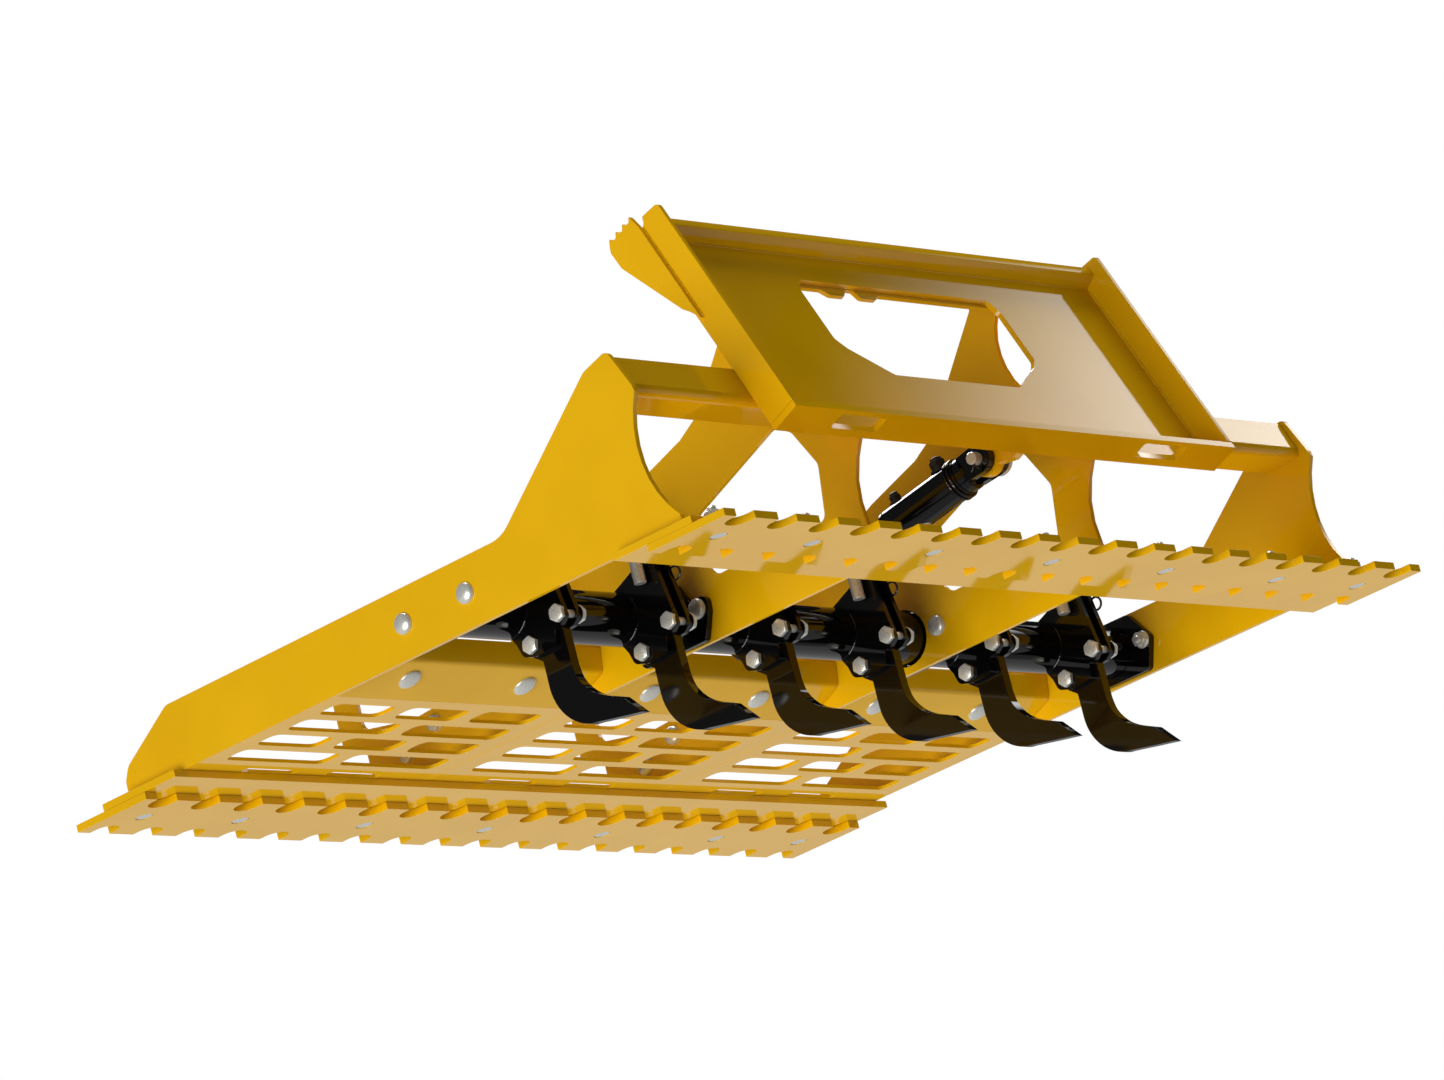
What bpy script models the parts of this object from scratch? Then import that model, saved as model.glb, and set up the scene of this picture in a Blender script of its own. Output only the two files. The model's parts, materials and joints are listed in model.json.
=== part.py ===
"""Grading bucket with a hydraulic scarifier, for a skid steer loader.

X runs across the bucket, Y from the machine towards the bucket's front edge, Z up.
Lengths below are in inches, measured from the ground line under the cutting edges (z = 0),
from the middle of the width (x = 0) and from the rear cutting edge's bolt row (y = 0).
The model is then shifted so that its origin is the middle of its footprint, at the shank tips.
"""

import math

import bmesh
import bpy
from mathutils import Vector
from mathutils.geometry import tessellate_polygon

INCH = 0.0254
GAP = 0.012                      # clearance between touching pieces, inches (0.3 mm)

# Where the model's origin lies in the bucket's own inches
ORIGIN_Y = 25.47
ORIGIN_Z = -6.3

# Driving dimensions
EDGE_HALF = 36.0                 # half the cutting edges' length
EDGE_DEPTH = 6.4                 # cutting edge, front to back
EDGE_THICK = 0.5
FRONT_EDGE_Y = 50.94             # bolt row of the front edge
TOOTH_PITCH = 4.0
SLOT_WIDE = 1.8
SLOT_DEEP = 1.5
PLOW_BOLT_X = (-33.0, -24.0, -12.0, 0.0, 12.0, 24.0, 33.0)
FLOOR_Z = 1.0                    # underside of everything welded on the base plates
WALL = 0.375                     # side plates, ribs, hitch plates
SIDE_OUT = 35.0                  # outer face of the side plates
RIB_X = 12.0
SHAFT_Y, SHAFT_Z, SHAFT_R = 21.75, 3.4, 1.75
SHANK_X = (-27.3, -16.55, -5.45, 5.45, 16.55, 27.3)
TALL = (1, 3, 5)                 # shanks whose clamps reach up to a lever pin
SHANK_THICK = 0.75
EAR_THICK = 0.4
BOLT_UP = (17.57, 1.8)           # upper clamp bolt, y and z
BOLT_LOW = (20.28, 0.65)         # lower clamp bolt
BOLT_R = 0.27
HEX_R = 0.6                      # corner radius of their heads and nuts
LEVER_PIN = (18.7, 8.0)          # pin through the tall clamps
PIN_R = 0.42
CYL_X = SHANK_X[3]
CYL_BASE = (6.8, 10.0)           # base pin of the cylinder, y and z
BARREL_R = 1.3
HITCH_HALF = 22.7                # half width of the hitch plate
HITCH_FOOT = (-0.5, 9.1)         # foot of the hitch's machine-side line, y and z
HITCH_TILT = math.radians(22.1)  # its lean from the vertical
HITCH_FACE = 1.9                 # main face, behind the machine-side line

YELLOW = (0.80, 0.42, 0.01)
BLACK = (0.012, 0.012, 0.013)
ZINC = (0.55, 0.55, 0.53)
STEEL = (0.45, 0.45, 0.46)


def clear_scene():
    for obj in list(bpy.data.objects):
        bpy.data.objects.remove(obj, do_unlink=True)


def paint(name, colour, roughness, metallic):
    material = bpy.data.materials.new(name)
    material.use_nodes = True
    shader = material.node_tree.nodes["Principled BSDF"]
    shader.inputs["Base Color"].default_value = (*colour, 1.0)
    shader.inputs["Roughness"].default_value = roughness
    shader.inputs["Metallic"].default_value = metallic
    return material


def world(x, y, z):
    """Bucket inches to metres from the model's origin."""
    return Vector((x * INCH, (y - ORIGIN_Y) * INCH, (z - ORIGIN_Z) * INCH))


# ---------------------------------------------------------------- outlines

def arc(cx, cy, radius, start, stop, steps):
    """Points of an arc, angles in degrees."""
    angles = [math.radians(start + (stop - start) * i / steps) for i in range(steps + 1)]
    return [(cx + radius * math.cos(a), cy + radius * math.sin(a)) for a in angles]


def circle(cx, cy, radius, steps):
    """A hole's polygon, whose flats lie at the radius."""
    return arc(cx, cy, radius / math.cos(math.pi / steps), 0.0, 360.0, steps)[:-1]


def rounded(corners, steps=4):
    """A polygon from corners (u, v, radius), each rounded with its own radius."""
    points = []
    count = len(corners)
    for i, (u, v, radius) in enumerate(corners):
        here = Vector((u, v))
        if radius <= 0.0:
            points.append((u, v))
            continue
        before = (Vector(corners[i - 1][:2]) - here).normalized()
        after = (Vector(corners[(i + 1) % count][:2]) - here).normalized()
        half = before.angle(after) / 2.0
        reach = radius / math.tan(half)
        centre = here + (before + after).normalized() * (radius / math.sin(half))
        first = here + before * reach - centre
        last = here + after * reach - centre
        turn = first.angle_signed(last)
        for k in range(steps + 1):
            swing = -turn * k / steps
            c, s = math.cos(swing), math.sin(swing)
            points.append((centre.x + first.x * c - first.y * s,
                           centre.y + first.x * s + first.y * c))
    return points


def hitch(offset, height):
    """A point of the hitch's side view: distance behind its machine-side line, height along it."""
    c, s = math.cos(HITCH_TILT), math.sin(HITCH_TILT)
    return (HITCH_FOOT[0] + c * offset + s * height, HITCH_FOOT[1] - s * offset + c * height)


def hitch_outline(corners, steps=4):
    return rounded([(*hitch(o, v), r) for o, v, r in corners], steps)


# ---------------------------------------------------------------- solids

def to_object(name, bm, material, origin=None):
    bmesh.ops.remove_doubles(bm, verts=bm.verts, dist=1e-6)
    bmesh.ops.recalc_face_normals(bm, faces=bm.faces)
    mesh = bpy.data.meshes.new(name)
    centre = Vector((0.0, 0.0, 0.0)) if origin is None else world(*origin)
    for vert in bm.verts:
        vert.co -= centre
    bm.to_mesh(mesh)
    bm.free()
    mesh.materials.append(material)
    mesh.shade_smooth()
    mesh.set_sharp_from_angle(angle=math.radians(35.0))
    obj = bpy.data.objects.new(name, mesh)
    obj.location = centre
    bpy.context.scene.collection.objects.link(obj)
    return obj


def join(obj, bm, name):
    """Unites obj with the shapes in bm, which cross it, so that they are one body."""
    helper = to_object(name, bm, obj.data.materials[0])
    helper.hide_render = True
    helper.display_type = "WIRE"
    union = obj.modifiers.new("join_" + name, "BOOLEAN")
    union.operation = "UNION"
    union.solver = "EXACT"
    union.use_self = True
    union.object = helper
    return obj


def add_slab(bm, outline, holes, low, high, place):
    """A flat piece: an outline with holes, filled and extruded from low to high.

    place(u, v, w) gives the world point of outline point (u, v) at depth w.
    """
    loops = [outline] + list(holes)
    flat = [[Vector((u, v, 0.0)) for u, v in loop] for loop in loops]
    points = [p for loop in flat for p in loop]
    bottom = [bm.verts.new(place(p.x, p.y, low)) for p in points]
    top = [bm.verts.new(place(p.x, p.y, high)) for p in points]
    for a, b, c in tessellate_polygon(flat):
        bm.faces.new((bottom[a], bottom[b], bottom[c]))
        bm.faces.new((top[c], top[b], top[a]))
    start = 0
    for loop in loops:
        count = len(loop)
        for i in range(count):
            a, b = start + i, start + (i + 1) % count
            bm.faces.new((bottom[a], bottom[b], top[b], top[a]))
        start += count


def across(u, v, w):
    """Outline in the side view (y, z), depth along x."""
    return world(w, u, v)


def upward(u, v, w):
    """Outline in plan (x, y), depth along z."""
    return world(u, v, w)


def slab(name, outline, low, high, material, holes=(), place=across, origin=None):
    bm = bmesh.new()
    add_slab(bm, outline, holes, low, high, place)
    return to_object(name, bm, material, origin)


def add_turned(bm, profile, centre, axis, segments):
    """A turned piece: rings (distance along axis, radius); a zero radius closes to a point."""
    axis = Vector(axis).normalized()
    side = axis.orthogonal().normalized()
    other = axis.cross(side)
    rings = []
    for along, radius in profile:
        middle = Vector(centre) + axis * along
        if radius <= 0.0:
            rings.append([bm.verts.new(world(*middle))])
            continue
        ring = []
        for k in range(segments):
            angle = 2.0 * math.pi * (k + 0.5) / segments
            ring.append(bm.verts.new(world(*(middle + side * (radius * math.cos(angle))
                                             + other * (radius * math.sin(angle))))))
        rings.append(ring)
    for one, two in zip(rings, rings[1:]):
        for k in range(segments):
            n = (k + 1) % segments
            if len(one) == 1:
                bm.faces.new((one[0], two[k], two[n]))
            elif len(two) == 1:
                bm.faces.new((one[k], one[n], two[0]))
            else:
                bm.faces.new((one[k], one[n], two[n], two[k]))
    closed = profile[0] == profile[-1]
    if closed:
        return
    for ring in (rings[0], rings[-1]):
        if len(ring) > 1:
            bm.faces.new(ring)


def turned(name, profile, centre, axis, material, segments=24, origin=None):
    bm = bmesh.new()
    add_turned(bm, profile, centre, axis, segments)
    return to_object(name, bm, material, origin)


# ---------------------------------------------------------------- floor

def cutting_edge(name, row_y, material):
    """A double-sided edge with its seven plow bolts: U slots along both sides leave square teeth."""
    half = EDGE_DEPTH / 2.0
    radius = SLOT_WIDE / 2.0
    straight = SLOT_DEEP - radius
    slots = [-34.0 + TOOTH_PITCH * k for k in range(18)]
    outline = [(-EDGE_HALF, row_y - half)]
    for x in slots:
        outline.append((x - radius, row_y - half))
        outline += arc(x, row_y - half + straight, radius, 180.0, 0.0, 6)
        outline.append((x + radius, row_y - half))
    outline += [(EDGE_HALF, row_y - half), (EDGE_HALF, row_y + half)]
    for x in reversed(slots):
        outline.append((x + radius, row_y + half))
        outline += arc(x, row_y + half - straight, radius, 0.0, -180.0, 6)
        outline.append((x - radius, row_y + half))
    outline.append((-EDGE_HALF, row_y + half))
    obj = slab(name, outline, 0.0, EDGE_THICK, material, (), upward)
    bm = bmesh.new()
    for x in PLOW_BOLT_X:
        stem = [(0.2, 0.31), (FLOOR_Z + GAP, 0.31), (FLOOR_Z + GAP, 0.62), (1.64, 0.62), (1.64, 0.31),
                (2.0, 0.31)]
        add_turned(bm, stem, (x, row_y, 0.0), (0, 0, 1), 12)
    return join(obj, bm, name + "_bolts")


def base_plate(name, y_low, y_high, row_y, material):
    outline = [(-EDGE_HALF, y_low), (EDGE_HALF, y_low), (EDGE_HALF, y_high), (-EDGE_HALF, y_high)]
    holes = [circle(x, row_y, 0.34, 12) for x in PLOW_BOLT_X]
    return slab(name, outline, EDGE_THICK + GAP, FLOOR_Z, material, holes, upward)


def add_ring(bm, centre, axis, inner, outer, low, high, segments):
    """A washer, nut or tube: six segments make a nut."""
    axis = Vector(axis)
    profile = [(low, inner), (high, inner), (high, outer), (low, outer), (low, inner)]
    add_turned(bm, profile, centre, axis, segments)


# Bays between the side plates and the ribs: low x, high x
BAY_GAP = 0.03
BAYS = {
    "left": (-SIDE_OUT + WALL + BAY_GAP, -RIB_X - WALL / 2 - BAY_GAP),
    "middle": (-RIB_X + WALL / 2 + BAY_GAP, RIB_X - WALL / 2 - BAY_GAP),
    "right": (RIB_X + WALL / 2 + BAY_GAP, SIDE_OUT - WALL - BAY_GAP),
}
GRATE_REAR, GRATE_FRONT, GRATE_THICK = 31.3, 46.2, 0.25
SLOT_ROWS = (41.95, 39.15, 36.35, 33.5)      # middles of the slot rows, front to back
SLOT_HIGH, SLOT_ROUND, SLOT_SPACE, FIELD = 1.95, 0.6, 1.4, 19.8


def slot_hole(x0, x1, y0, y1, radius, steps=3):
    return rounded([(x0, y0, radius), (x1, y0, radius), (x1, y1, radius), (x0, y1, radius)], steps)


def floor_grate(name, bay, material):
    """Flat floor of one bay: rows of two long and three short slots, and two drain slits in front."""
    x0, x1 = BAYS[bay]
    middle = (x0 + x1) / 2.0
    holes = []
    for index, y in enumerate(SLOT_ROWS):
        count = 2 if index % 2 == 0 else 3
        wide = (FIELD - SLOT_SPACE * (count - 1)) / count
        for k in range(count):
            left = middle - FIELD / 2.0 + k * (wide + SLOT_SPACE)
            holes.append(slot_hole(left, left + wide, y - SLOT_HIGH / 2, y + SLOT_HIGH / 2, SLOT_ROUND))
    for x in (middle - 4.0, middle + 4.0):
        holes.append(slot_hole(x - 2.5, x + 2.5, 44.2, 44.9, 0.3, 2))
    outline = [(x0, GRATE_REAR), (x1, GRATE_REAR), (x1, GRATE_FRONT), (x0, GRATE_FRONT)]
    return slab(name, outline, FLOOR_Z + GAP, FLOOR_Z + GAP + GRATE_THICK, material, holes, upward)


RAMP = ((GRATE_REAR - GAP, FLOOR_Z + GAP), (28.0, 2.35), (27.7, 3.95))
RAMP_BOLTS, RAMP_BOLT_UP = (-6.1, 4.9), 1.92   # from the bay's middle, and up the slope


def ramp(name, bay, material):
    """Folded plate behind the grate, rising to an upright lip, with two round bolt heads under it."""
    x0, x1 = BAYS[bay]
    (ya, za), (yb, zb), (yc, zc) = RAMP
    outline = [(ya, za), (ya, za + GRATE_THICK), (yb + 0.2, zb + 0.2), (yc + 0.25, zc),
               (yc, zc), (yb, zb)]
    obj = slab(name, outline, x0, x1, material)
    slope = Vector((0.0, yb - ya, zb - za)).normalized()
    down = Vector((0.0, slope.z, -slope.y))
    down = down if down.z < 0.0 else -down
    bm = bmesh.new()
    for shift in RAMP_BOLTS:
        seat = Vector(((x0 + x1) / 2 + shift, ya, za)) + slope * RAMP_BOLT_UP
        head = [(-0.12, 0.5), (0.0, 0.8), (0.12, 0.78), (0.25, 0.55), (0.32, 0.2), (0.33, 0.0)]
        add_turned(bm, [(-0.12, 0.0)] + head, seat, down, 14)
    return join(obj, bm, name + "_bolts")


# ---------------------------------------------------------------- upright plates

SIDE_BOLTS = ((18.85, 3.27), (24.3, 3.27))
# Outlines of the bearing plates on the side plates, and of the lower ones on the ribs
OUTER_BEARING = ((18.15, 3.35, 0.35), (19.6, 5.36, 0.5), (23.4, 5.36, 0.5), (24.85, 3.35, 0.35),
                 (24.05, 1.15, 0.4), (18.95, 1.15, 0.4))
INNER_BEARING = ((18.0, 2.9, 0.5), (17.9, 3.97, 0.5), (19.4, 3.97, 0.2), (20.2, 5.5, 0.5),
                 (23.3, 5.5, 0.5), (24.1, 3.97, 0.2), (25.1, 3.97, 0.5), (25.0, 2.9, 0.5),
                 (24.2, 1.1, 0.4), (18.8, 1.1, 0.4))
BEARING_THICK = 0.5
JOURNAL_R = SHAFT_R + 0.04


def side_plate(name, low, material):
    corners = [(0.8, 0.0), (50.0, 0.0), (50.0, 0.6), (49.5, 0.9), (45.2, 1.0),
               (15.0, 2.5), (5.5, 1.2), (3.4, 0.45), (2.05, 0.3)]
    heights = [1.0 + GAP, 1.0 + GAP, 2.0, 2.9, 5.5, 5.5, 12.8, 13.4, 10.6]
    outline = rounded([(y, z, r) for (y, r), z in zip(corners, heights)])
    # concave machine-side edge between the last corner and the foot
    outline += arc(-4.6, 6.7, 7.45, 28.0, -42.0, 8)
    holes = [circle(y, z, 0.29, 10) for y, z in SIDE_BOLTS]
    return slab(name, outline, low, low + WALL, material, holes)


BEAM_BACK = 0.38
BEAM_TOP = 5.3                                # height along the hitch line
BEAM_FLANGE_Z = (10.4, 10.75)
BEAM_FLANGE_Y = 5.8


def beam_outline():
    """Folded sheet between the side plates: a leaning web and a level flange under it."""
    face = HITCH_FACE + WALL + GAP
    top_out, top_in = hitch(face, BEAM_TOP), hitch(face + BEAM_BACK, BEAM_TOP)
    slope = math.tan(HITCH_TILT)
    low, high = BEAM_FLANGE_Z
    foot_y = hitch(face, 0.0)[0] + slope * (low - hitch(face, 0.0)[1])
    inner_y = hitch(face + BEAM_BACK, 0.0)[0] + slope * (high - hitch(face + BEAM_BACK, 0.0)[1])
    return rounded([(foot_y, low, 0.5), (BEAM_FLANGE_Y, low, 0.0), (BEAM_FLANGE_Y, high, 0.0),
                    (inner_y, high, 0.15), (*top_in, 0.0), (*top_out, 0.0)])


def cross_beam(name, material):
    half = SIDE_OUT - WALL - 0.03
    return slab(name, beam_outline(), -half, half, material)


RIB_BOLTS = ((42.7, 4.2), (45.6, 3.0))
# Rib bolt along x from the rib's middle: round head towards the middle bay, nut and end outside
RIB_BOLT = ((-0.6, 0.0), (-0.56, 0.3), (-0.4, 0.58), (-0.15, 0.66), (-0.15, 0.27), (0.15, 0.27),
            (0.15, 0.56), (0.65, 0.56), (0.65, 0.27), (0.9, 0.27), (0.9, 0.0))


def rib(name, x, material):
    """Inner rib: low bar with a front post, rear leg, raking strut and the arm to the hitch plate."""
    back = HITCH_FACE + WALL + GAP
    beam_clear = back + BEAM_BACK + 0.03
    low, high = BEAM_FLANGE_Z
    slope = math.tan(HITCH_TILT)
    inner_y = hitch(beam_clear, 0.0)[0] + slope * (high + 0.03 - hitch(beam_clear, 0.0)[1]) + 0.12
    front = rounded([(49.1, FLOOR_Z + GAP, 0.0), (49.1, 4.6, 0.15), (51.0, 5.3, 0.4), (51.0, 10.6, 0.8),
                     (49.0, 10.6, 0.8), (49.0, 6.0, 0.6), (44.6, 5.15, 1.5), (38.4, 5.5, 2.0),
                     (21.5, 12.9, 0.0)], 3)
    outline = [(3.4, FLOOR_Z + GAP)] + front
    outline += [(17.2, 14.3), (15.5, 15.25), (9.72, 22.05),
                hitch(4.0, 16.7), hitch(3.4, 16.9), hitch(back, 16.4), hitch(back, 14.9)]
    outline += [(7.7, 21.1), (8.05, 20.3), (8.28, 19.4), (8.3, 18.4), (8.15, 17.5), (7.8, 16.5), (7.3, 15.65)]
    outline += [hitch(back + 0.6, 6.3), hitch(back, BEAM_TOP + 0.1), hitch(beam_clear, BEAM_TOP + 0.1)]
    outline += [(inner_y, high + 0.03), (BEAM_FLANGE_Y + 0.04, high + 0.03),
                (BEAM_FLANGE_Y + 0.04, low - 0.03), (2.9, low - 0.03)]
    outline += [(3.05, 9.4), (3.85, 8.0), (4.35, 6.6), (4.5, 5.2), (4.35, 3.6), (3.95, 2.2)]
    opening = rounded([(7.5, 5.1, 0.5), (17.5, 4.95, 0.9), (17.6, 9.1, 0.7), (9.7, 12.25, 0.8),
                       (8.4, 11.4, 0.8), (6.95, 8.7, 0.8)])
    holes = [opening, circle(SHAFT_Y, SHAFT_Z, JOURNAL_R + 0.1, 24)]
    holes += [circle(y, z, 0.29, 10) for y, z in SIDE_BOLTS]
    obj = slab(name, outline, x - WALL / 2, x + WALL / 2, material, holes)
    outward = 1 if x > 0 else -1
    bm = bmesh.new()
    for y, z in RIB_BOLTS:
        add_turned(bm, RIB_BOLT, (x, y, z), (outward, 0, 0), 12)
    return join(obj, bm, name + "_bolts")


def bearing_plate(name, tag, face, side, material):
    """Bearing plate on a wall, with its two carriage bolts: domes outside, nuts in the bay."""
    low = face + GAP if side > 0 else face - GAP - BEARING_THICK
    outline = rounded(OUTER_BEARING if tag in "14" else INNER_BEARING, 3)
    obj = slab(name, outline, low, low + BEARING_THICK, material, [circle(SHAFT_Y, SHAFT_Z, JOURNAL_R, 28)])
    plate_out = GAP + BEARING_THICK
    dome_out = WALL + GAP
    if tag == "2":                            # this one has its domes on the plate's side
        profile = [(plate_out + 0.42, 0.0), (plate_out + 0.38, 0.3), (plate_out + 0.22, 0.58),
                   (plate_out - 0.1, 0.7), (plate_out - 0.1, 0.27), (-dome_out, 0.27),
                   (-dome_out, 0.58), (-dome_out - 0.5, 0.58), (-dome_out - 0.5, 0.27),
                   (-dome_out - 0.7, 0.27)]
    else:
        profile = [(-dome_out - 0.42, 0.0), (-dome_out - 0.38, 0.3), (-dome_out - 0.22, 0.58),
                   (-dome_out, 0.7), (-dome_out, 0.27), (plate_out - 0.1, 0.27), (plate_out - 0.1, 0.58),
                   (plate_out + 0.5, 0.58), (plate_out + 0.5, 0.27), (plate_out + 0.75, 0.27)]
    bm = bmesh.new()
    for y, z in SIDE_BOLTS:
        add_turned(bm, profile, (face, y, z), (side, 0, 0), 12)
    return join(obj, bm, name + "_bolts")


# Each bearing: x of the wall's near face, direction towards the bay it serves
BEARINGS = (("1", -SIDE_OUT + WALL, 1), ("2", -RIB_X - WALL / 2, -1),
            ("3", RIB_X + WALL / 2, 1), ("4", SIDE_OUT - WALL, -1))


# ---------------------------------------------------------------- hitch plate

def hitch_face(name, material):
    """Main plate with the six-sided window, standing on the bottom flange."""
    half = HITCH_HALF - WALL - 0.03
    window = [(9.7, 14.0, 0.5), (10.3, 12.9, 0.3), (10.3, 8.7, 0.5), (9.6, 7.9, 0.5), (6.4, 5.85, 0.6)]
    mirrored = [(-x, v, r) for x, v, r in window]
    ring = rounded([(x, v, r) for x, v, r in reversed(window)] + mirrored, 3)

    def on_face(u, v, w):
        return world(u, *hitch(w, v))

    outline = [(-half, 0.5), (half, 0.5), (half, 16.28), (-half, 16.28)]
    return slab(name, outline, HITCH_FACE, HITCH_FACE + WALL, material, [ring], on_face)


def hitch_lip(name, material):
    half = HITCH_HALF - WALL - 0.03
    outline = hitch_outline([(1.9, 16.31, 0), (2.28, 16.31, 0), (2.28, 17.1, 0.2),
                             (0.95, 17.45, 0.1), (0.82, 16.66, 0.05)], 2)
    return slab(name, outline, -half, half, material)


def hitch_flange(name, material):
    """Bottom flange with the two slots that the machine's locking pins drop into."""

    def level(u, v, w):
        return world(u, *hitch(v, w))

    outline = [(-HITCH_HALF, 0.0), (HITCH_HALF, 0.0), (HITCH_HALF, 2.28), (-HITCH_HALF, 2.28)]
    holes = [slot_hole(x - 2.25, x + 2.25, 0.4, 1.65, 0.2, 2) for x in (-15.6, 15.6)]
    return slab(name, outline, 0.0, 0.47, material, holes, level)


def hitch_gusset(name, low, material):
    outline = hitch_outline([(0.0, 0.5, 0.1), (2.28, 0.5, 0), (2.28, 17.0, 0), (1.65, 17.35, 0.15),
                             (1.45, 17.8, 0.15), (0.0, 17.6, 0.3)], 3)
    return slab(name, outline, low, low + WALL, material)


def step_plate(name, low, material):
    """Serrated step behind the gusset: four teeth across its top."""
    teeth = []
    first, pitch, drop = (8.3, 25.35), (0.65, -0.26), 0.42
    for k in range(4):
        y, z = first[0] + pitch[0] * k, first[1] + pitch[1] * k
        teeth += [(y, z, 0.05), (y + 0.1, z - drop, 0.1), (y + pitch[0] - 0.22, z - drop - 0.05, 0.1)]
    corners = [(*hitch(1.85, 9.3), 0.0), (5.45, 17.7, 0.3), (5.95, 18.05, 0.3), (9.85, 22.4, 0.6),
               (10.4, 23.7, 0.5)]
    corners += reversed(teeth[:-2])
    corners.append((*hitch(1.85, 17.25), 0.0))
    return slab(name, rounded(corners, 2), low, low + WALL, material)


def hose_guard(name, material):
    """Stiffener behind the window's top edge, between the ribs, with two lobes that hold the hoses."""
    def on_face(u, v, w):
        return world(u, *hitch(w, v))

    lobes = [(-10.6, 13.72, 0.0), (-7.4, 13.72, 0.3), (-6.75, 13.3, 0.3), (-5.3, 13.3, 0.3), (-4.7, 13.95, 0.1),
             (-3.95, 13.95, 0.1), (-3.65, 13.3, 0.3), (-2.15, 13.3, 0.3), (-1.4, 13.72, 0.2)]
    outline = rounded(lobes + [(11.7, 13.72, 0.0), (11.7, 15.4, 0.0), (-10.6, 15.4, 0.0)], 3)
    start = HITCH_FACE + WALL + GAP
    return slab(name, outline, start, start + 0.3, material, (), on_face)


# ---------------------------------------------------------------- scarifier

SHAFT_AXIS = (0.0, SHAFT_Y, SHAFT_Z)


def scarifier_shaft(name, material):
    half = SIDE_OUT - WALL - 0.1
    bm = bmesh.new()
    add_ring(bm, SHAFT_AXIS, (1, 0, 0), 1.35, SHAFT_R, -half, half, 28)
    return to_object(name, bm, material, SHAFT_AXIS)


def ear_outline(tall):
    """One clamp ear: welded round the shaft's machine side, reaching to both bolts."""
    hug = [(y, z, 0.0) for y, z in arc(SHAFT_Y, SHAFT_Z, SHAFT_R + 0.04, 272.0, 100.0, 12)]
    low_part = [(17.14, 1.95, 0.0), (17.1, 1.45, 0.3), (17.65, 1.05, 0.2), (18.2, 1.0, 0.15), (18.35, 0.0, 0.3),
                (19.3, -0.12, 0.0), (20.2, -0.15, 0.5), (21.2, 0.15, 0.5), (21.45, 1.0, 0.2)]
    if not tall:
        return rounded(hug + [(19.8, 5.1, 0.3), (17.55, 4.5, 0.4)] + low_part, 2)
    y, z = LEVER_PIN
    top = [(19.3, 6.05, 0.4)] + [(u, v, 0.0) for u, v in arc(y, z, 1.05, 0.0, 180.0, 6)] + [(17.75, 5.7, 0.0)]
    return rounded(hug + top + low_part, 2)


def clamp(name, index, material):
    """Two ears, one each side of the shank, held by two hex bolts; tall ones reach to a lever pin."""
    tall = index in TALL
    outline = ear_outline(tall)
    holes = [circle(*LEVER_PIN, PIN_R + GAP, 12)] if tall else []
    x = SHANK_X[index]
    inner = SHANK_THICK / 2 + 0.03
    bm = bmesh.new()
    for low in (x - inner - EAR_THICK, x + inner):
        add_slab(bm, outline, holes, low, low + EAR_THICK, across)
    obj = to_object(name, bm, material, SHAFT_AXIS)
    outer = inner + EAR_THICK
    bm = bmesh.new()
    for y, z in (BOLT_UP, BOLT_LOW):
        add_bolt(bm, (x - outer + 0.02, y, z), 2 * outer + 0.7)
        add_turned(bm, [(outer - 0.1, 0.0), (outer - 0.1, HEX_R), (outer + 0.45, HEX_R), (outer + 0.45, 0.0)],
                   (x, y, z), (1, 0, 0), 6)
    return join(obj, bm, name + "_bolts")


def shank(name, index, material):
    """J-shaped tooth: a straight leg that curves towards the machine and ends in a point."""
    leg_y = 17.9
    outline = [(leg_y, 2.95), (leg_y, -1.6), (17.7, -2.5), (17.15, -3.35), (16.3, -4.05), (14.6, -4.85),
               (13.35, -6.3)]
    outline += [(15.2, -5.98), (17.0, -5.65)]
    outline += arc(16.6, -2.2, 3.5, -74.0, 0.0, 6)
    outline += [(20.08, -0.5), (20.9, 0.1), (20.9, 1.2), (19.75, 2.0), (19.7, 2.95)]
    x = SHANK_X[index]
    holes = [circle(*BOLT_LOW, BOLT_R + GAP, 10)]
    return slab(name, outline, x - SHANK_THICK / 2, x + SHANK_THICK / 2, material, holes,
                origin=SHAFT_AXIS)


def add_bolt(bm, seat, length):
    """A hex head bolt along +x: head, then shank, one closed body."""
    x, y, z = seat
    head = [(x - 0.38, HEX_R), (x, HEX_R)]
    rings = []
    for along, radius in head:
        rings.append([bm.verts.new(world(along, y + radius * math.cos(math.pi * k / 3),
                                         z + radius * math.sin(math.pi * k / 3))) for k in range(6)])
    for along in (x, x + length):
        rings.append([bm.verts.new(world(along, y + BOLT_R * math.cos(math.pi * k / 6),
                                         z + BOLT_R * math.sin(math.pi * k / 6))) for k in range(12)])
    for one, two in ((rings[0], rings[1]), (rings[2], rings[3])):
        count = len(one)
        for k in range(count):
            bm.faces.new((one[k], one[(k + 1) % count], two[(k + 1) % count], two[k]))
    for k in range(6):
        n = (k + 1) % 6
        corner, after = rings[1][k], rings[1][n]
        a, b, c = rings[2][2 * k], rings[2][2 * k + 1], rings[2][(2 * k + 2) % 12]
        bm.faces.new((corner, b, a))
        bm.faces.new((corner, after, b))
        bm.faces.new((after, c, b))
    bm.faces.new(rings[0])
    bm.faces.new(rings[3])


def shaft_collar(name, material):
    bm = bmesh.new()
    add_ring(bm, (SHANK_X[2] + 0.95, SHAFT_Y, SHAFT_Z), (1, 0, 0), SHAFT_R + 0.03, SHAFT_R + 0.4, 0.0, 1.6, 28)
    return to_object(name, bm, material, SHAFT_AXIS)


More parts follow.
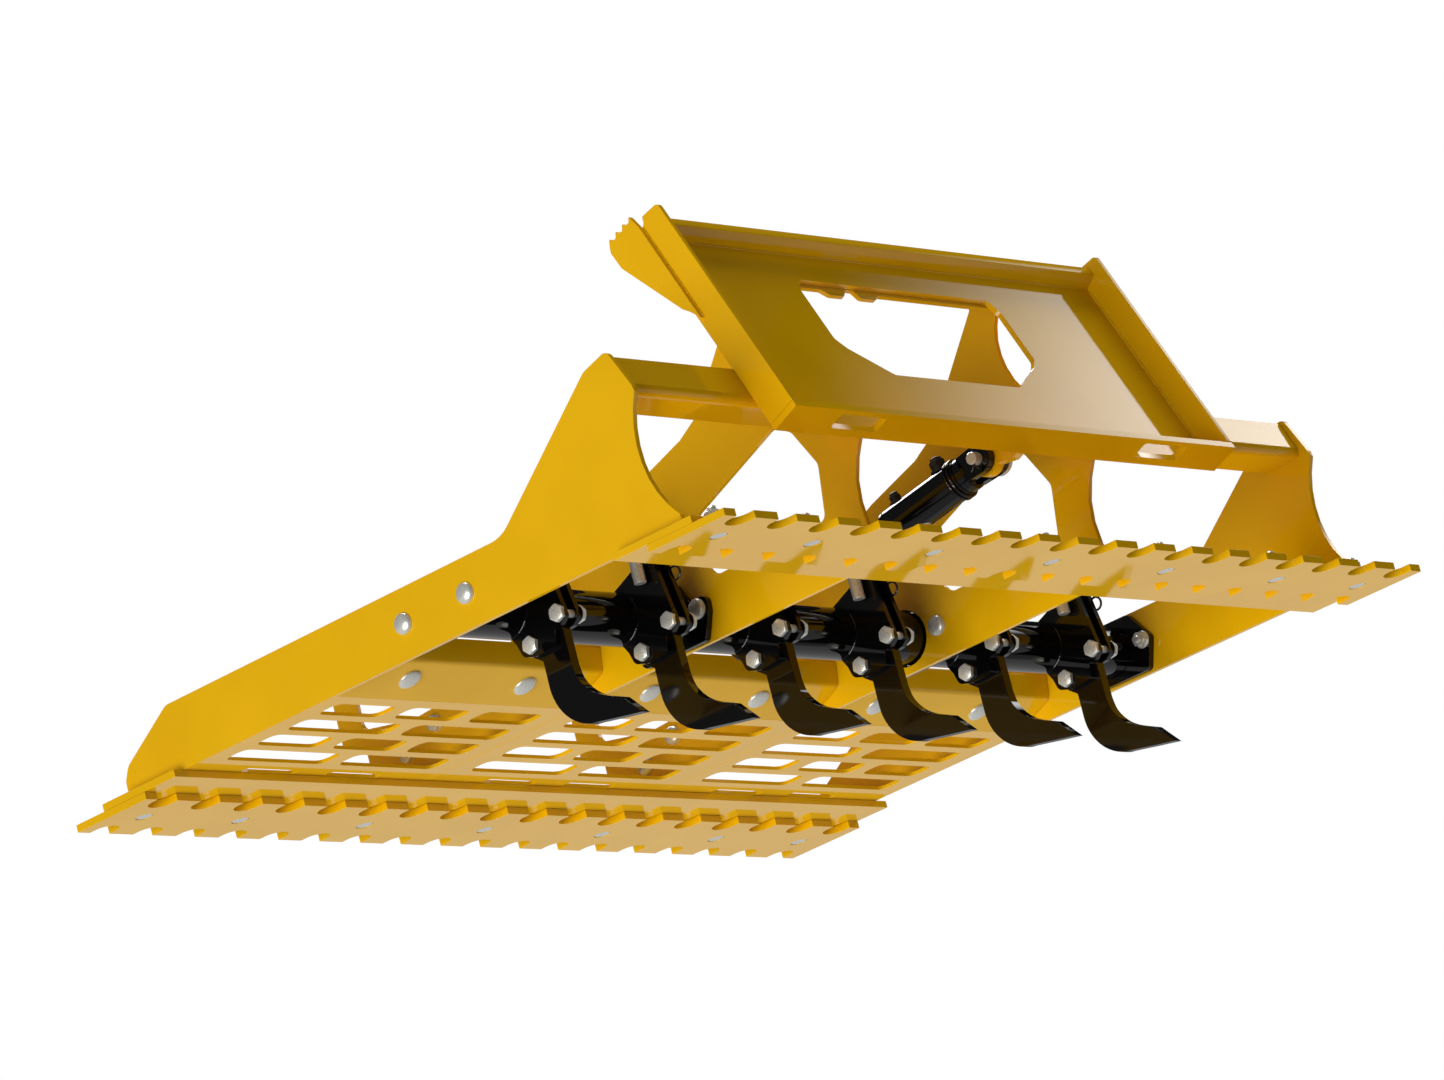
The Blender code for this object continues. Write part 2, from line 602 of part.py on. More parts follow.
def add_tube(bm, path, radius, segments):
    """A round bar along a path of points, with flat ends."""
    points = [Vector(p) for p in path]
    rings = []
    normal = None
    for i, point in enumerate(points):
        before = points[max(i - 1, 0)]
        after = points[min(i + 1, len(points) - 1)]
        along = (after - before).normalized()
        if normal is None:
            normal = along.orthogonal().normalized()
        normal = (normal - along * normal.dot(along)).normalized()
        other = along.cross(normal)
        rings.append([bm.verts.new(world(*(point + normal * (radius * math.cos(2 * math.pi * k / segments))
                                           + other * (radius * math.sin(2 * math.pi * k / segments)))))
                      for k in range(segments)])
    for one, two in zip(rings, rings[1:]):
        for k in range(segments):
            n = (k + 1) % segments
            bm.faces.new((one[k], one[n], two[n], two[k]))
    bm.faces.new(rings[0])
    bm.faces.new(rings[-1])


HANDLE_X = 1.35                               # handle's middle, left of the clamp's middle


def lever_pin(name, index, material):
    """Bent pin: straight through the tall ears, its handle hanging down on the left."""
    y, z = LEVER_PIN
    x = SHANK_X[index]
    elbow = [(x - HANDLE_X + 0.45 * (1 - math.sin(a)), y, z - 0.45 * (1 - math.cos(a)))
             for a in (0.0, math.pi / 6, math.pi / 3, math.pi / 2)]
    bm = bmesh.new()
    add_tube(bm, [(x + 1.5, y, z)] + elbow + [(x - HANDLE_X, y, z - 3.3)], PIN_R, 12)
    return to_object(name, bm, material, SHAFT_AXIS)


def hairpin(name, index, material):
    """Wire clip beside the lever pin's free end, its loop hanging towards the machine."""
    bm = bmesh.new()
    y, z = LEVER_PIN
    x = SHANK_X[index] + 1.1
    loop = [(x, y - 0.96 - 0.45 * math.cos(a), z - 2.8 - 0.45 * math.sin(a))
            for a in [math.radians(-160 + 27 * k) for k in range(11)]]
    add_tube(bm, [(x, y - PIN_R - 0.1, z + 0.5), (x, y - PIN_R - 0.1, z - 2.3)] + loop, 0.08, 6)
    return to_object(name, bm, material, SHAFT_AXIS)


# ---------------------------------------------------------------- cylinder

def cylinder_frame():
    """Unit vector from the base pin to the lever pin, in (y, z), and the pin distance."""
    run = Vector((LEVER_PIN[0] - CYL_BASE[0], LEVER_PIN[1] - CYL_BASE[1]))
    return run.normalized(), run.length


def along_cylinder(distance, rise=0.0):
    unit, _ = cylinder_frame()
    return (CYL_BASE[0] + unit.x * distance - unit.y * rise, CYL_BASE[1] + unit.y * distance + unit.x * rise)


BARREL_FROM, BARREL_TO = 2.1, 8.5
TONGUE = 2.55                                 # from the lever pin to the rod's end, thin enough for the ears
CYL_ORIGIN = (CYL_X, *CYL_BASE)


def cylinder_barrel(name, material):
    """Barrel bored through for the piston, with a hose port at each end; its cap is the clevis."""
    unit, _ = cylinder_frame()
    bm = bmesh.new()
    along = (0, unit.x, unit.y)
    profile = [(BARREL_FROM, 1.0), (BARREL_TO, 1.0), (BARREL_TO, BARREL_R), (2.7, BARREL_R),
               (2.7, BARREL_R + 0.14), (2.2, BARREL_R + 0.14), (2.2, BARREL_R), (BARREL_FROM, BARREL_R),
               (BARREL_FROM, 1.0)]
    add_turned(bm, profile, CYL_ORIGIN, along, 24)
    obj = to_object(name, bm, material, CYL_ORIGIN)
    bm = bmesh.new()
    for distance, radius, height in ((3.7, 0.55, 1.0), (7.8, 0.4, 0.8)):
        foot = (CYL_X, *along_cylinder(distance, BARREL_R))
        profile = [(-0.15, radius * 0.8), (0.35, radius * 0.8), (0.35, radius), (height, radius)]
        add_turned(bm, profile, foot, (0, -unit.y, unit.x), 16)
    return join(obj, bm, name + "_ports")


def base_clevis(name, material):
    """Two rounded ears on the cap, astride the lug."""
    outer, inner, far = 1.05, 0.5, BARREL_FROM - GAP
    eye = arc(0.0, 0.0, 1.0, 90.0, 270.0, 8)

    def local(u, v, w):
        return world(w, *along_cylinder(u, v))

    outline = eye + [(1.6, -0.9), (1.6, 0.9)]
    hole = [circle(0.0, 0.0, PIN_R + GAP, 12)]
    bm = bmesh.new()
    add_slab(bm, outline, hole, CYL_X - outer, CYL_X - inner, local)
    add_slab(bm, outline, hole, CYL_X + inner, CYL_X + outer, local)
    obj = to_object(name, bm, material, CYL_ORIGIN)
    unit, _ = cylinder_frame()
    bm = bmesh.new()
    add_turned(bm, [(1.35, 1.25), (far, 1.25)], CYL_ORIGIN, (0, unit.x, unit.y), 24)
    return join(obj, bm, name + "_cap")


def gland(name, material):
    unit, _ = cylinder_frame()
    bm = bmesh.new()
    add_ring(bm, CYL_ORIGIN, (0, unit.x, unit.y), 0.64, BARREL_R, BARREL_TO + GAP, BARREL_TO + 0.5, 24)
    return to_object(name, bm, material, CYL_ORIGIN)


def cylinder_rod(name, material):
    """Rod with its piston inside the barrel."""
    unit, reach = cylinder_frame()
    profile = [(2.6, 0.96), (3.4, 0.96), (3.4, 0.6), (reach - TONGUE, 0.6)]
    return turned(name, profile, CYL_ORIGIN, (0, unit.x, unit.y), material, 20,
                  (CYL_X, *along_cylinder(reach)))


EYE_HOLE = PIN_R + 0.45


def rod_eye(name, material):
    """Eye and flat tongue on the rod's end; its hole is open wide, so that the lever's arc clears it."""
    _, reach = cylinder_frame()

    def local(u, v, w):
        return world(w, *along_cylinder(reach + u, v))

    outline = arc(0.0, 0.0, 1.2, -150.0, 150.0, 14)
    outline += [(-TONGUE + GAP, 0.6), (-TONGUE + GAP, -0.6)]
    return slab(name, outline, CYL_X - 0.33, CYL_X + 0.33, material,
                [circle(0.0, 0.0, EYE_HOLE, 16)], local, (CYL_X, *along_cylinder(reach)))


def beam_lug(name, material):
    """Lug hanging from the beam's flange, between the clevis ears."""
    y, z = CYL_BASE
    top = BEAM_FLANGE_Z[0] - GAP
    outline = [(2.9, top), (2.9, 9.9), (4.6, 9.2)] + arc(y, z, 1.15, 215.0, 360.0, 8)
    outline += [(7.9, 11.4), (6.2, 11.4), (6.2, top)]
    return slab(name, outline, CYL_X - 0.4, CYL_X + 0.4, material, [circle(y, z, PIN_R + GAP, 12)])


def base_pin(name, material):
    """Pin through the clevis and the lug, with a wide head on the right."""
    profile = [(-1.75, PIN_R), (1.15, PIN_R), (1.15, 1.0), (1.5, 1.0)]
    return turned(name, profile, CYL_ORIGIN, (1, 0, 0), material, 16, CYL_ORIGIN)


# ---------------------------------------------------------------- assembly

def build():
    clear_scene()
    yellow = paint("yellow_paint", YELLOW, 0.25, 0.0)
    black = paint("black_paint", BLACK, 0.2, 0.0)
    zinc = paint("zinc_plate", ZINC, 0.35, 0.9)
    steel = paint("bright_steel", STEEL, 0.25, 1.0)

    cutting_edge("rear_cutting_edge", 0.0, yellow)
    cutting_edge("front_cutting_edge", FRONT_EDGE_Y, yellow)
    base_plate("rear_base_plate", -0.6, 6.0, 0.0, yellow)
    base_plate("front_base_plate", 44.9, 51.54, FRONT_EDGE_Y, yellow)
    for bay in BAYS:
        floor_grate(f"floor_grate_{bay}", bay, yellow)
        ramp(f"ramp_{bay}", bay, yellow)

    side_plate("side_plate_left", -SIDE_OUT, yellow)
    side_plate("side_plate_right", SIDE_OUT - WALL, yellow)
    rib("rib_left", -RIB_X, yellow)
    rib("rib_right", RIB_X, yellow)
    cross_beam("cross_beam", yellow)
    for tag, face, side in BEARINGS:
        bearing_plate(f"bearing_plate_{tag}", tag, face, side, black)

    hitch_face("hitch_plate", yellow)
    hitch_lip("hitch_lip", yellow)
    hitch_flange("hitch_flange", yellow)
    hitch_gusset("hitch_gusset_left", -HITCH_HALF, yellow)
    hitch_gusset("hitch_gusset_right", HITCH_HALF - WALL, yellow)
    step_plate("step_plate_left", -HITCH_HALF - WALL - GAP, yellow)
    step_plate("step_plate_right", HITCH_HALF + GAP, yellow)
    hose_guard("hose_guard", yellow)

    scarifier_shaft("scarifier_shaft", black)
    shaft_collar("shaft_collar", black)
    for index in range(6):
        clamp(f"clamp_{index + 1}", index, black)
        shank(f"shank_{index + 1}", index, black)
    for number, index in enumerate(TALL, 1):
        lever_pin(f"lever_pin_{number}", index, zinc)
        hairpin(f"hairpin_{number}", index, steel)

    cylinder_barrel("cylinder_barrel", black)
    base_clevis("base_clevis", black)
    gland("cylinder_gland", black)
    cylinder_rod("cylinder_rod", steel)
    rod_eye("rod_eye", black)
    beam_lug("beam_lug", yellow)
    base_pin("base_pin", zinc)


build()
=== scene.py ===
"""Looks of the grading bucket: painted plates, scarifier, cylinder, fasteners, welds, studio and camera.

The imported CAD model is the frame. Lengths are in inches in the bucket's own places: x from the middle,
y from the rear cutting edge's bolt row towards the front edge, z up from the ground line.
"""

import json
import math

import bmesh
import bpy
from mathutils import Matrix, Vector, noise
from mathutils.geometry import tessellate_polygon


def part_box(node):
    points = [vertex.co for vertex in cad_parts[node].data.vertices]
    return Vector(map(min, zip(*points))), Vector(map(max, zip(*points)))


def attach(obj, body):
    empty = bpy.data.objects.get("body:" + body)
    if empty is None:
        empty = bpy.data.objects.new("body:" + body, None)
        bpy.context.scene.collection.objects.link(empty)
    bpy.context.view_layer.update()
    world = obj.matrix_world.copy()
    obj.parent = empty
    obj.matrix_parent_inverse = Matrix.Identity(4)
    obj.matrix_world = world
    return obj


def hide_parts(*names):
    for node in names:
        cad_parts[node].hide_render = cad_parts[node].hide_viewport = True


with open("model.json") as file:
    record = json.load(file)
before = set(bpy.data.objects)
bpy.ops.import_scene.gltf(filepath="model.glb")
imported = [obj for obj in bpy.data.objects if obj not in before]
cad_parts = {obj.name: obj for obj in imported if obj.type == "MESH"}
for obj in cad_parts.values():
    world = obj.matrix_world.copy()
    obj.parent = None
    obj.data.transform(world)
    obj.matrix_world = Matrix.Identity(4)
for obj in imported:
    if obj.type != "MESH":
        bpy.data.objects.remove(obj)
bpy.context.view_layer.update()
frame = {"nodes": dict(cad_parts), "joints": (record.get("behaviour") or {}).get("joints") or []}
INCH = 0.0254

EDGE_LOW, EDGE_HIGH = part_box("rear_cutting_edge")
FRONT_LOW, FRONT_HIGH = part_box("front_cutting_edge")
ROW_Y = (EDGE_LOW.y + EDGE_HIGH.y) / 2.0
GROUND_Z = EDGE_LOW.z


def place(x, y, z):
    """Bucket inches to metres in the model's frame."""
    return Vector((x * INCH, ROW_Y + y * INCH, GROUND_Z + z * INCH))


def middle(node):
    """Middle of a CAD node's box, in bucket inches."""
    low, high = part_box(node)
    centre = (low + high) / 2.0
    return Vector((centre.x / INCH, (centre.y - ROW_Y) / INCH, (centre.z - GROUND_Z) / INCH))


def inches(point):
    return Vector((point[0] / INCH, (point[1] - ROW_Y) / INCH, (point[2] - GROUND_Z) / INCH))


JOINTS = {joint["name"]: joint for joint in frame["joints"]}
SHAFT = inches(JOINTS["scarifier_hinge"]["pos_m"])
CYL_BASE = inches(JOINTS["barrel_pivot"]["pos_m"])
CYL_ALONG = Vector(JOINTS["rod_slide"]["axis"]).normalized()
CYL_UP = Vector((0.0, -CYL_ALONG.z, CYL_ALONG.y))
SHAFT_R = (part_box("scarifier_shaft")[1].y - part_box("scarifier_shaft")[0].y) / 2.0 / INCH
SHANK_X = [middle(f"shank_{i}").x for i in range(1, 7)]
TALL = (1, 3, 5)                              # shanks whose clamps reach up to a lever pin
LEVER_PIN = (18.7, 8.0)
PIN_R = 0.42
BOLT_UP, BOLT_LOW, BOLT_R = (17.57, 1.8), (20.28, 0.65), 0.27
WALL = 0.375                                  # thickness of the walls' plates
FLOOR_Z = 1.0                                 # top of the floor's base plates
GAP = 0.012                                   # clearance between neighbouring pieces
SIDE_X, RIB_X, HITCH_HALF = 35.0, 12.0, 22.7  # side plate's outer face, rib's middle, hitch's half width


# ---------------------------------------------------------------- materials

def new_material(name):
    """A material with its node tree and its shader."""
    material = bpy.data.materials.new(name)
    material.use_nodes = True
    tree = material.node_tree
    return material, tree, tree.nodes["Principled BSDF"]


def node(tree, kind, **inputs):
    made = tree.nodes.new(kind)
    for key, value in inputs.items():
        made.inputs[key.replace("_", " ")].default_value = value
    return made


def object_noise(tree, scale, detail=3.0, roughness=0.5):
    """Noise in the piece's own coordinates, in cycles per metre."""
    place_in = tree.nodes.new("ShaderNodeTexCoord")
    made = node(tree, "ShaderNodeTexNoise", Scale=scale, Detail=detail, Roughness=roughness)
    tree.links.new(place_in.outputs["Object"], made.inputs["Vector"])
    return made.outputs["Fac"]


NOISE_LOW, NOISE_HIGH = 0.3, 0.7              # noise keeps mostly between these


def ramp(tree, source, low, high):
    """Colour ramp between two colours, driven by noise."""
    made = tree.nodes.new("ShaderNodeValToRGB")
    made.color_ramp.elements[0].position = NOISE_LOW
    made.color_ramp.elements[1].position = NOISE_HIGH
    made.color_ramp.elements[0].color = (*low, 1.0)
    made.color_ramp.elements[1].color = (*high, 1.0)
    tree.links.new(source, made.inputs["Fac"])
    return made.outputs["Color"]


def map_range(tree, source, start, stop, low, high, kind="LINEAR"):
    """Maps source from start..stop to low..high, held at both ends."""
    made = tree.nodes.new("ShaderNodeMapRange")
    made.interpolation_type = kind
    for key, value in (("From Min", start), ("From Max", stop), ("To Min", low), ("To Max", high)):
        made.inputs[key].default_value = value
    tree.links.new(source, made.inputs["Value"])
    return made.outputs["Result"]


def span(tree, source, low, high):
    """Maps noise around its middle to a range of numbers."""
    return map_range(tree, source, NOISE_LOW, NOISE_HIGH, low, high)


def bump(tree, shader, source, strength):
    """Fine relief, a fraction of a millimetre deep."""
    made = node(tree, "ShaderNodeBump", Strength=strength, Distance=0.0002)
    tree.links.new(source, made.inputs["Height"])
    tree.links.new(made.outputs["Normal"], shader.inputs["Normal"])


def enamel(name, dark, light, rough_low, rough_high, peel):
    """Gloss enamel: a thin clear coat over a slightly uneven colour, with faint orange peel."""
    material, tree, shader = new_material(name)
    tone = ramp(tree, object_noise(tree, 5.0, 4.0), dark, light)
    tree.links.new(tone, shader.inputs["Base Color"])
    tree.links.new(span(tree, object_noise(tree, 23.0, 5.0, 0.6), rough_low, rough_high),
                   shader.inputs["Roughness"])
    shader.inputs["IOR"].default_value = 1.45
    shader.inputs["Coat Weight"].default_value = 0.05
    shader.inputs["Coat Roughness"].default_value = 0.03
    bump(tree, shader, object_noise(tree, 420.0, 2.0), peel)
    return material


def metal(name, dark, light, rough_low, rough_high, grain, metallic=1.0):
    """Plated, polished or blackened steel with a finely varied sheen."""
    material, tree, shader = new_material(name)
    tone = ramp(tree, object_noise(tree, 160.0, 5.0, 0.65), dark, light)
    tree.links.new(tone, shader.inputs["Base Color"])
    tree.links.new(span(tree, object_noise(tree, 310.0, 4.0), rough_low, rough_high),
                   shader.inputs["Roughness"])
    shader.inputs["Metallic"].default_value = metallic
    bump(tree, shader, object_noise(tree, 900.0, 3.0), grain)
    return material


YELLOW = enamel("yellow_enamel", (0.78, 0.425, 0.002), (0.84, 0.465, 0.003), 0.04, 0.07, 0.02)
BLACK = enamel("black_enamel", (0.0015, 0.0015, 0.0018), (0.0025, 0.0025, 0.003), 0.03, 0.06, 0.02)
ZINC = metal("zinc_finish", (0.66, 0.66, 0.60), (0.70, 0.70, 0.65), 0.26, 0.32, 0.03, 0.45)
CHROME = metal("hard_chrome", (0.62, 0.62, 0.63), (0.68, 0.68, 0.69), 0.05, 0.09, 0.02)
WIRE = metal("spring_wire", (0.035, 0.034, 0.032), (0.05, 0.048, 0.045), 0.2, 0.3, 0.05, 0.6)
RUBBER = enamel("black_plastic", (0.010, 0.010, 0.010), (0.018, 0.018, 0.018), 0.4, 0.5, 0.1)


# ---------------------------------------------------------------- outlines

def arc(cx, cy, radius, start, stop, steps):
    angles = [math.radians(start + (stop - start) * i / steps) for i in range(steps + 1)]
    return [(cx + radius * math.cos(a), cy + radius * math.sin(a)) for a in angles]


def circle(cx, cy, radius, steps=32):
    return arc(cx, cy, radius, 0.0, 360.0, steps)[:-1]


def rounded(corners, steps=6):
    """A polygon from corners (u, v, radius), each rounded with its own radius."""
    points = []
    for i, (u, v, radius) in enumerate(corners):
        here = Vector((u, v))
        if radius <= 0.0:
            points.append((u, v))
            continue
        before = (Vector(corners[i - 1][:2]) - here).normalized()
        after = (Vector(corners[(i + 1) % len(corners)][:2]) - here).normalized()
        half = before.angle(after) / 2.0
        reach = radius / math.tan(half)
        centre = here + (before + after).normalized() * (radius / math.sin(half))
        first = here + before * reach - centre
        last = here + after * reach - centre
        turn = first.angle_signed(last)
        for k in range(steps + 1):
            swing = -turn * k / steps
            c, s = math.cos(swing), math.sin(swing)
            points.append((centre.x + first.x * c - first.y * s, centre.y + first.x * s + first.y * c))
    return points


# ---------------------------------------------------------------- meshes

def across(u, v, w):
    """Outline in the side view (y, z), depth along x."""
    return place(w, u, v)


def upward(u, v, w):
    """Outline in plan (x, y), depth along z."""
    return place(u, v, w)


def add_slab(bm, outline, holes, low, high, put=across):
    """A plate with holes, from low to high along the depth that put gives it."""
    loops = [outline] + list(holes)
    flat = [[Vector((u, v, 0.0)) for u, v in loop] for loop in loops]
    points = [p for loop in flat for p in loop]
    bottom = [bm.verts.new(put(p.x, p.y, low)) for p in points]
    top = [bm.verts.new(put(p.x, p.y, high)) for p in points]
    for a, b, c in tessellate_polygon(flat):
        bm.faces.new((bottom[a], bottom[b], bottom[c]))
        bm.faces.new((top[c], top[b], top[a]))
    start = 0
    for loop in loops:
        count = len(loop)
        for i in range(count):
            a, b = start + i, start + (i + 1) % count
            bm.faces.new((bottom[a], bottom[b], top[b], top[a]))
        start += count


def basis(axis):
    """Three unit vectors at right angles, the first along axis."""
    axis = Vector(axis).normalized()
    side = Vector((0.0, 0.0, 1.0)) if abs(axis.z) < 0.9 else Vector((0.0, 1.0, 0.0))
    side = (side - axis * side.dot(axis)).normalized()
    return axis, side, axis.cross(side)


def add_rings(bm, rings, loop=False):
    """Joins rings of points, in metres, into a closed skin; a ring of one point closes to a tip."""
    made = [[bm.verts.new(p) for p in ring] for ring in rings]
    pairs = list(zip(made, made[1:] + made[:1])) if loop else list(zip(made, made[1:]))
    for one, two in pairs:
        count = max(len(one), len(two))
        for k in range(count):
            n = (k + 1) % count
            if len(one) == 1:
                bm.faces.new((one[0], two[k], two[n]))
            elif len(two) == 1:
                bm.faces.new((one[k], one[n], two[0]))
            else:
                bm.faces.new((one[k], one[n], two[n], two[k]))
    if loop:
        return
    for ring in (made[0], made[-1]):
        if len(ring) > 1:
            bm.faces.new(ring)


def add_turned(bm, profile, centre, axis, segments=32, loop=False):
    """A turned shape about axis: profile of (distance along it, radius), in inches."""
    axis, side, other = basis(axis)
    rings = []
    for along, radius in profile:
        point = Vector(centre) + axis * along
        if radius <= 0.0:
            rings.append([place(*point)])
            continue
        ring = []
        for k in range(segments):
            a = 2.0 * math.pi * k / segments
            ring.append(place(*(point + side * (radius * math.cos(a)) + other * (radius * math.sin(a)))))
        rings.append(ring)
    add_rings(bm, rings, loop=loop)


def add_hex(bm, seat, axis, flats, low, high, hole=0.0, turn=0.0):
    """A hexagon with the conical chamfer of a bolt head or nut; hole leaves a bore through it."""
    axis, side, other = basis(axis)
    count = 24
    face_r = flats / 2.0 * 0.94

    def ring_at(height, chamfered, top):
        ring = []
        for k in range(count):
            a = 2.0 * math.pi * k / count + turn
            local = (a - turn) % (math.pi / 3.0) - math.pi / 6.0
            radius = face_r if top else flats / 2.0 / math.cos(local)
            drop = max(0.0, radius - face_r) * 0.55 if chamfered else 0.0
            direction = side * math.cos(a) + other * math.sin(a)
            ring.append(place(*(Vector(seat) + axis * (height - drop) + direction * radius)))
        return ring

    def bore(height):
        ring = []
        for k in range(count):
            a = 2.0 * math.pi * k / count + turn
            direction = side * math.cos(a) + other * math.sin(a)
            ring.append(place(*(Vector(seat) + axis * height + direction * hole)))
        return ring

    rings = [ring_at(low, False, False), ring_at(high, True, False), ring_at(high, False, True)]
    if hole > 0.0:
        rings += [bore(high), bore(low)]
        add_rings(bm, rings, loop=True)
    else:
        add_rings(bm, rings)


def add_thread(bm, seat, axis, radius, low, high, pitch=0.11):
    """The end of a bolt: thread ridges and a chamfered tip."""
    profile = [(low, radius - 0.035)]
    height = low
    while height + pitch < high - 0.08:
        profile += [(height + pitch * 0.35, radius), (height + pitch * 0.6, radius),
                    (height + pitch * 0.95, radius - 0.045)]
        height += pitch
    profile += [(high - 0.08, radius - 0.02), (high, radius - 0.1), (high, 0.0)]
    add_turned(bm, [(low, 0.0)] + profile, seat, axis, 20)


def add_washer(bm, seat, axis, inner, outer, low, high):
    """A flat washer with its outer edges broken."""
    edge = min(0.02, (high - low) / 3.0)
    profile = [(low, inner), (low, outer - edge), (low + edge, outer), (high - edge, outer),
               (high, outer - edge), (high, inner)]
    add_turned(bm, profile, seat, axis, 32, loop=True)


def add_tube(bm, path, radius, segments=12, ripple=0.0, taper=0.0):
    """A round bar along a path in inches; ripple gives weld scales and taper closes its ends."""
    points = [Vector(p) for p in path]
    total = len(points)
    normal = None
    rings = []
    for i, point in enumerate(points):
        along = (points[min(i + 1, total - 1)] - points[max(i - 1, 0)]).normalized()
        if normal is None:
            normal = basis(along)[1]
        normal = (normal - along * normal.dot(along)).normalized()
        other = along.cross(normal)
        size = radius
        if ripple:
            size *= 1.0 + ripple * ((i % 4) / 3.0 - 0.5)
            size *= 1.0 + 0.12 * noise.noise(point * 1.7)
        if taper:
            size *= min(1.0, 0.35 + taper * min(i, total - 1 - i))
        rings.append([place(*(point + normal * (size * math.cos(2 * math.pi * k / segments))
                              + other * (size * math.sin(2 * math.pi * k / segments))))
                      for k in range(segments)])
    add_rings(bm, rings)


def smooth_path(points, steps=6):
    """A Catmull-Rom curve through points."""
    pts = [Vector(p) for p in points]
    out = []
    for i in range(len(pts) - 1):
        a, b, c, d = pts[max(i - 1, 0)], pts[i], pts[i + 1], pts[min(i + 2, len(pts) - 1)]
        for k in range(steps):
            t = k / steps
            out.append(0.5 * (2 * b + (c - a) * t + (2 * a - 5 * b + 4 * c - d) * t * t
                              + (3 * b - a - 3 * c + d) * t ** 3))
    out.append(pts[-1])
    return out


def make_piece(name, bm, material, body, replaced=(), bevel=0.0, segments=2, clean=True):
    """Turns bm into a shown piece that rides on body; bevel is its edges' break, in inches."""
    bmesh.ops.remove_doubles(bm, verts=bm.verts, dist=1e-6)
    if clean:
        bmesh.ops.dissolve_limit(bm, angle_limit=math.radians(0.4), verts=bm.verts, edges=bm.edges)
    bmesh.ops.recalc_face_normals(bm, faces=bm.faces)
    mesh = bpy.data.meshes.new(name)
    bm.to_mesh(mesh)
    bm.free()
    mesh.materials.append(material)
    mesh.shade_smooth()
    mesh.set_sharp_from_angle(angle=math.radians(32.0))
    obj = bpy.data.objects.new(name, mesh)
    bpy.context.scene.collection.objects.link(obj)
    if bevel:
        modifier = obj.modifiers.new("edge_break", "BEVEL")
        modifier.width = bevel * INCH
        modifier.segments = segments
        modifier.limit_method = "ANGLE"
        modifier.angle_limit = math.radians(32.0)
        modifier.harden_normals = True
    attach(obj, body)
    if replaced:
        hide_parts(*replaced)


def dress(node_name, bevel=0.03):
    """A painted CAD plate of the frame with its triangles merged to clean faces and its edges broken."""
    bm = bmesh.new()
    bm.from_mesh(frame["nodes"][node_name].data)
    make_piece(node_name + "_plate", bm, YELLOW, "frame", (node_name,), bevel)


def rib_plate(node_name, x):
    """The rib's flat plate alone: the bolts through it are separate pieces."""
    bm = bmesh.new()
    bm.from_mesh(frame["nodes"][node_name].data)
    outside = [vert for vert in bm.verts if abs(vert.co.x - x * INCH) > (WALL / 2 + 0.002) * INCH]
    bmesh.ops.delete(bm, geom=outside, context="VERTS")
    bmesh.ops.holes_fill(bm, edges=[edge for edge in bm.edges if edge.is_boundary], sides=0)
    make_piece(node_name + "_plate", bm, YELLOW, "frame", (node_name,), 0.03)


# ---------------------------------------------------------------- cutting edges

EDGE_HALF, EDGE_THICK = 36.0, 0.5
TOOTH_PITCH, SLOT_WIDE, SLOT_DEEP = 4.0, 1.8, 1.5
PLOW_BOLT_X = (-33.0, -24.0, -12.0, 0.0, 12.0, 24.0, 33.0)
PLOW_HEAD_R = 0.56


def cutting_edge(name, row_y):
    """Double-sided edge with U slots, and its flush plow bolts with nuts above."""
    half = (EDGE_HIGH.y - EDGE_LOW.y) / 2.0 / INCH
    radius = SLOT_WIDE / 2.0
    straight = SLOT_DEEP - radius
    slots = [-34.0 + TOOTH_PITCH * k for k in range(18)]
    outline = [(-EDGE_HALF, row_y - half)]
    for x in slots:
        outline.append((x - radius, row_y - half))
        outline += arc(x, row_y - half + straight, radius, 180.0, 0.0, 14)
        outline.append((x + radius, row_y - half))
    outline += [(EDGE_HALF, row_y - half), (EDGE_HALF, row_y + half)]
    for x in reversed(slots):
        outline.append((x + radius, row_y + half))
        outline += arc(x, row_y + half - straight, radius, 0.0, -180.0, 14)
        outline.append((x - radius, row_y + half))
    outline.append((-EDGE_HALF, row_y + half))
    bm = bmesh.new()
    add_slab(bm, outline, [circle(x, row_y, PLOW_HEAD_R + 0.03, 28) for x in PLOW_BOLT_X],
             0.0, EDGE_THICK, upward)
    make_piece(name + "_blade", bm, YELLOW, "frame", (name,), 0.035)

    bm = bmesh.new()
    for x in PLOW_BOLT_X:
        head = [(EDGE_THICK, 0.0), (EDGE_THICK, 0.4), (0.12, PLOW_HEAD_R), (0.05, PLOW_HEAD_R),
                (0.03, PLOW_HEAD_R - 0.03), (0.03, 0.0)]
        add_turned(bm, head, (x, row_y, 0.0), (0, 0, 1))
        add_washer(bm, (x, row_y, FLOOR_Z), (0, 0, 1), 0.3, 0.66, 0.01, 0.1)
        add_hex(bm, (x, row_y, FLOOR_Z), (0, 0, 1), 1.0, 0.1, 0.62, 0.0, 0.3 * x)
        add_thread(bm, (x, row_y, FLOOR_Z), (0, 0, 1), 0.31, 0.6, 0.98)
    make_piece(name + "_plow_bolts", bm, ZINC, "frame")


# ---------------------------------------------------------------- ramps and bearings

GRATE_REAR, GRATE_THICK = 31.3, 0.25
RAMP = ((GRATE_REAR - GAP, FLOOR_Z + GAP), (28.0, 2.35), (27.7, 3.95))
RAMP_BOLTS, RAMP_BOLT_UP = (-6.1, 4.9), 1.92


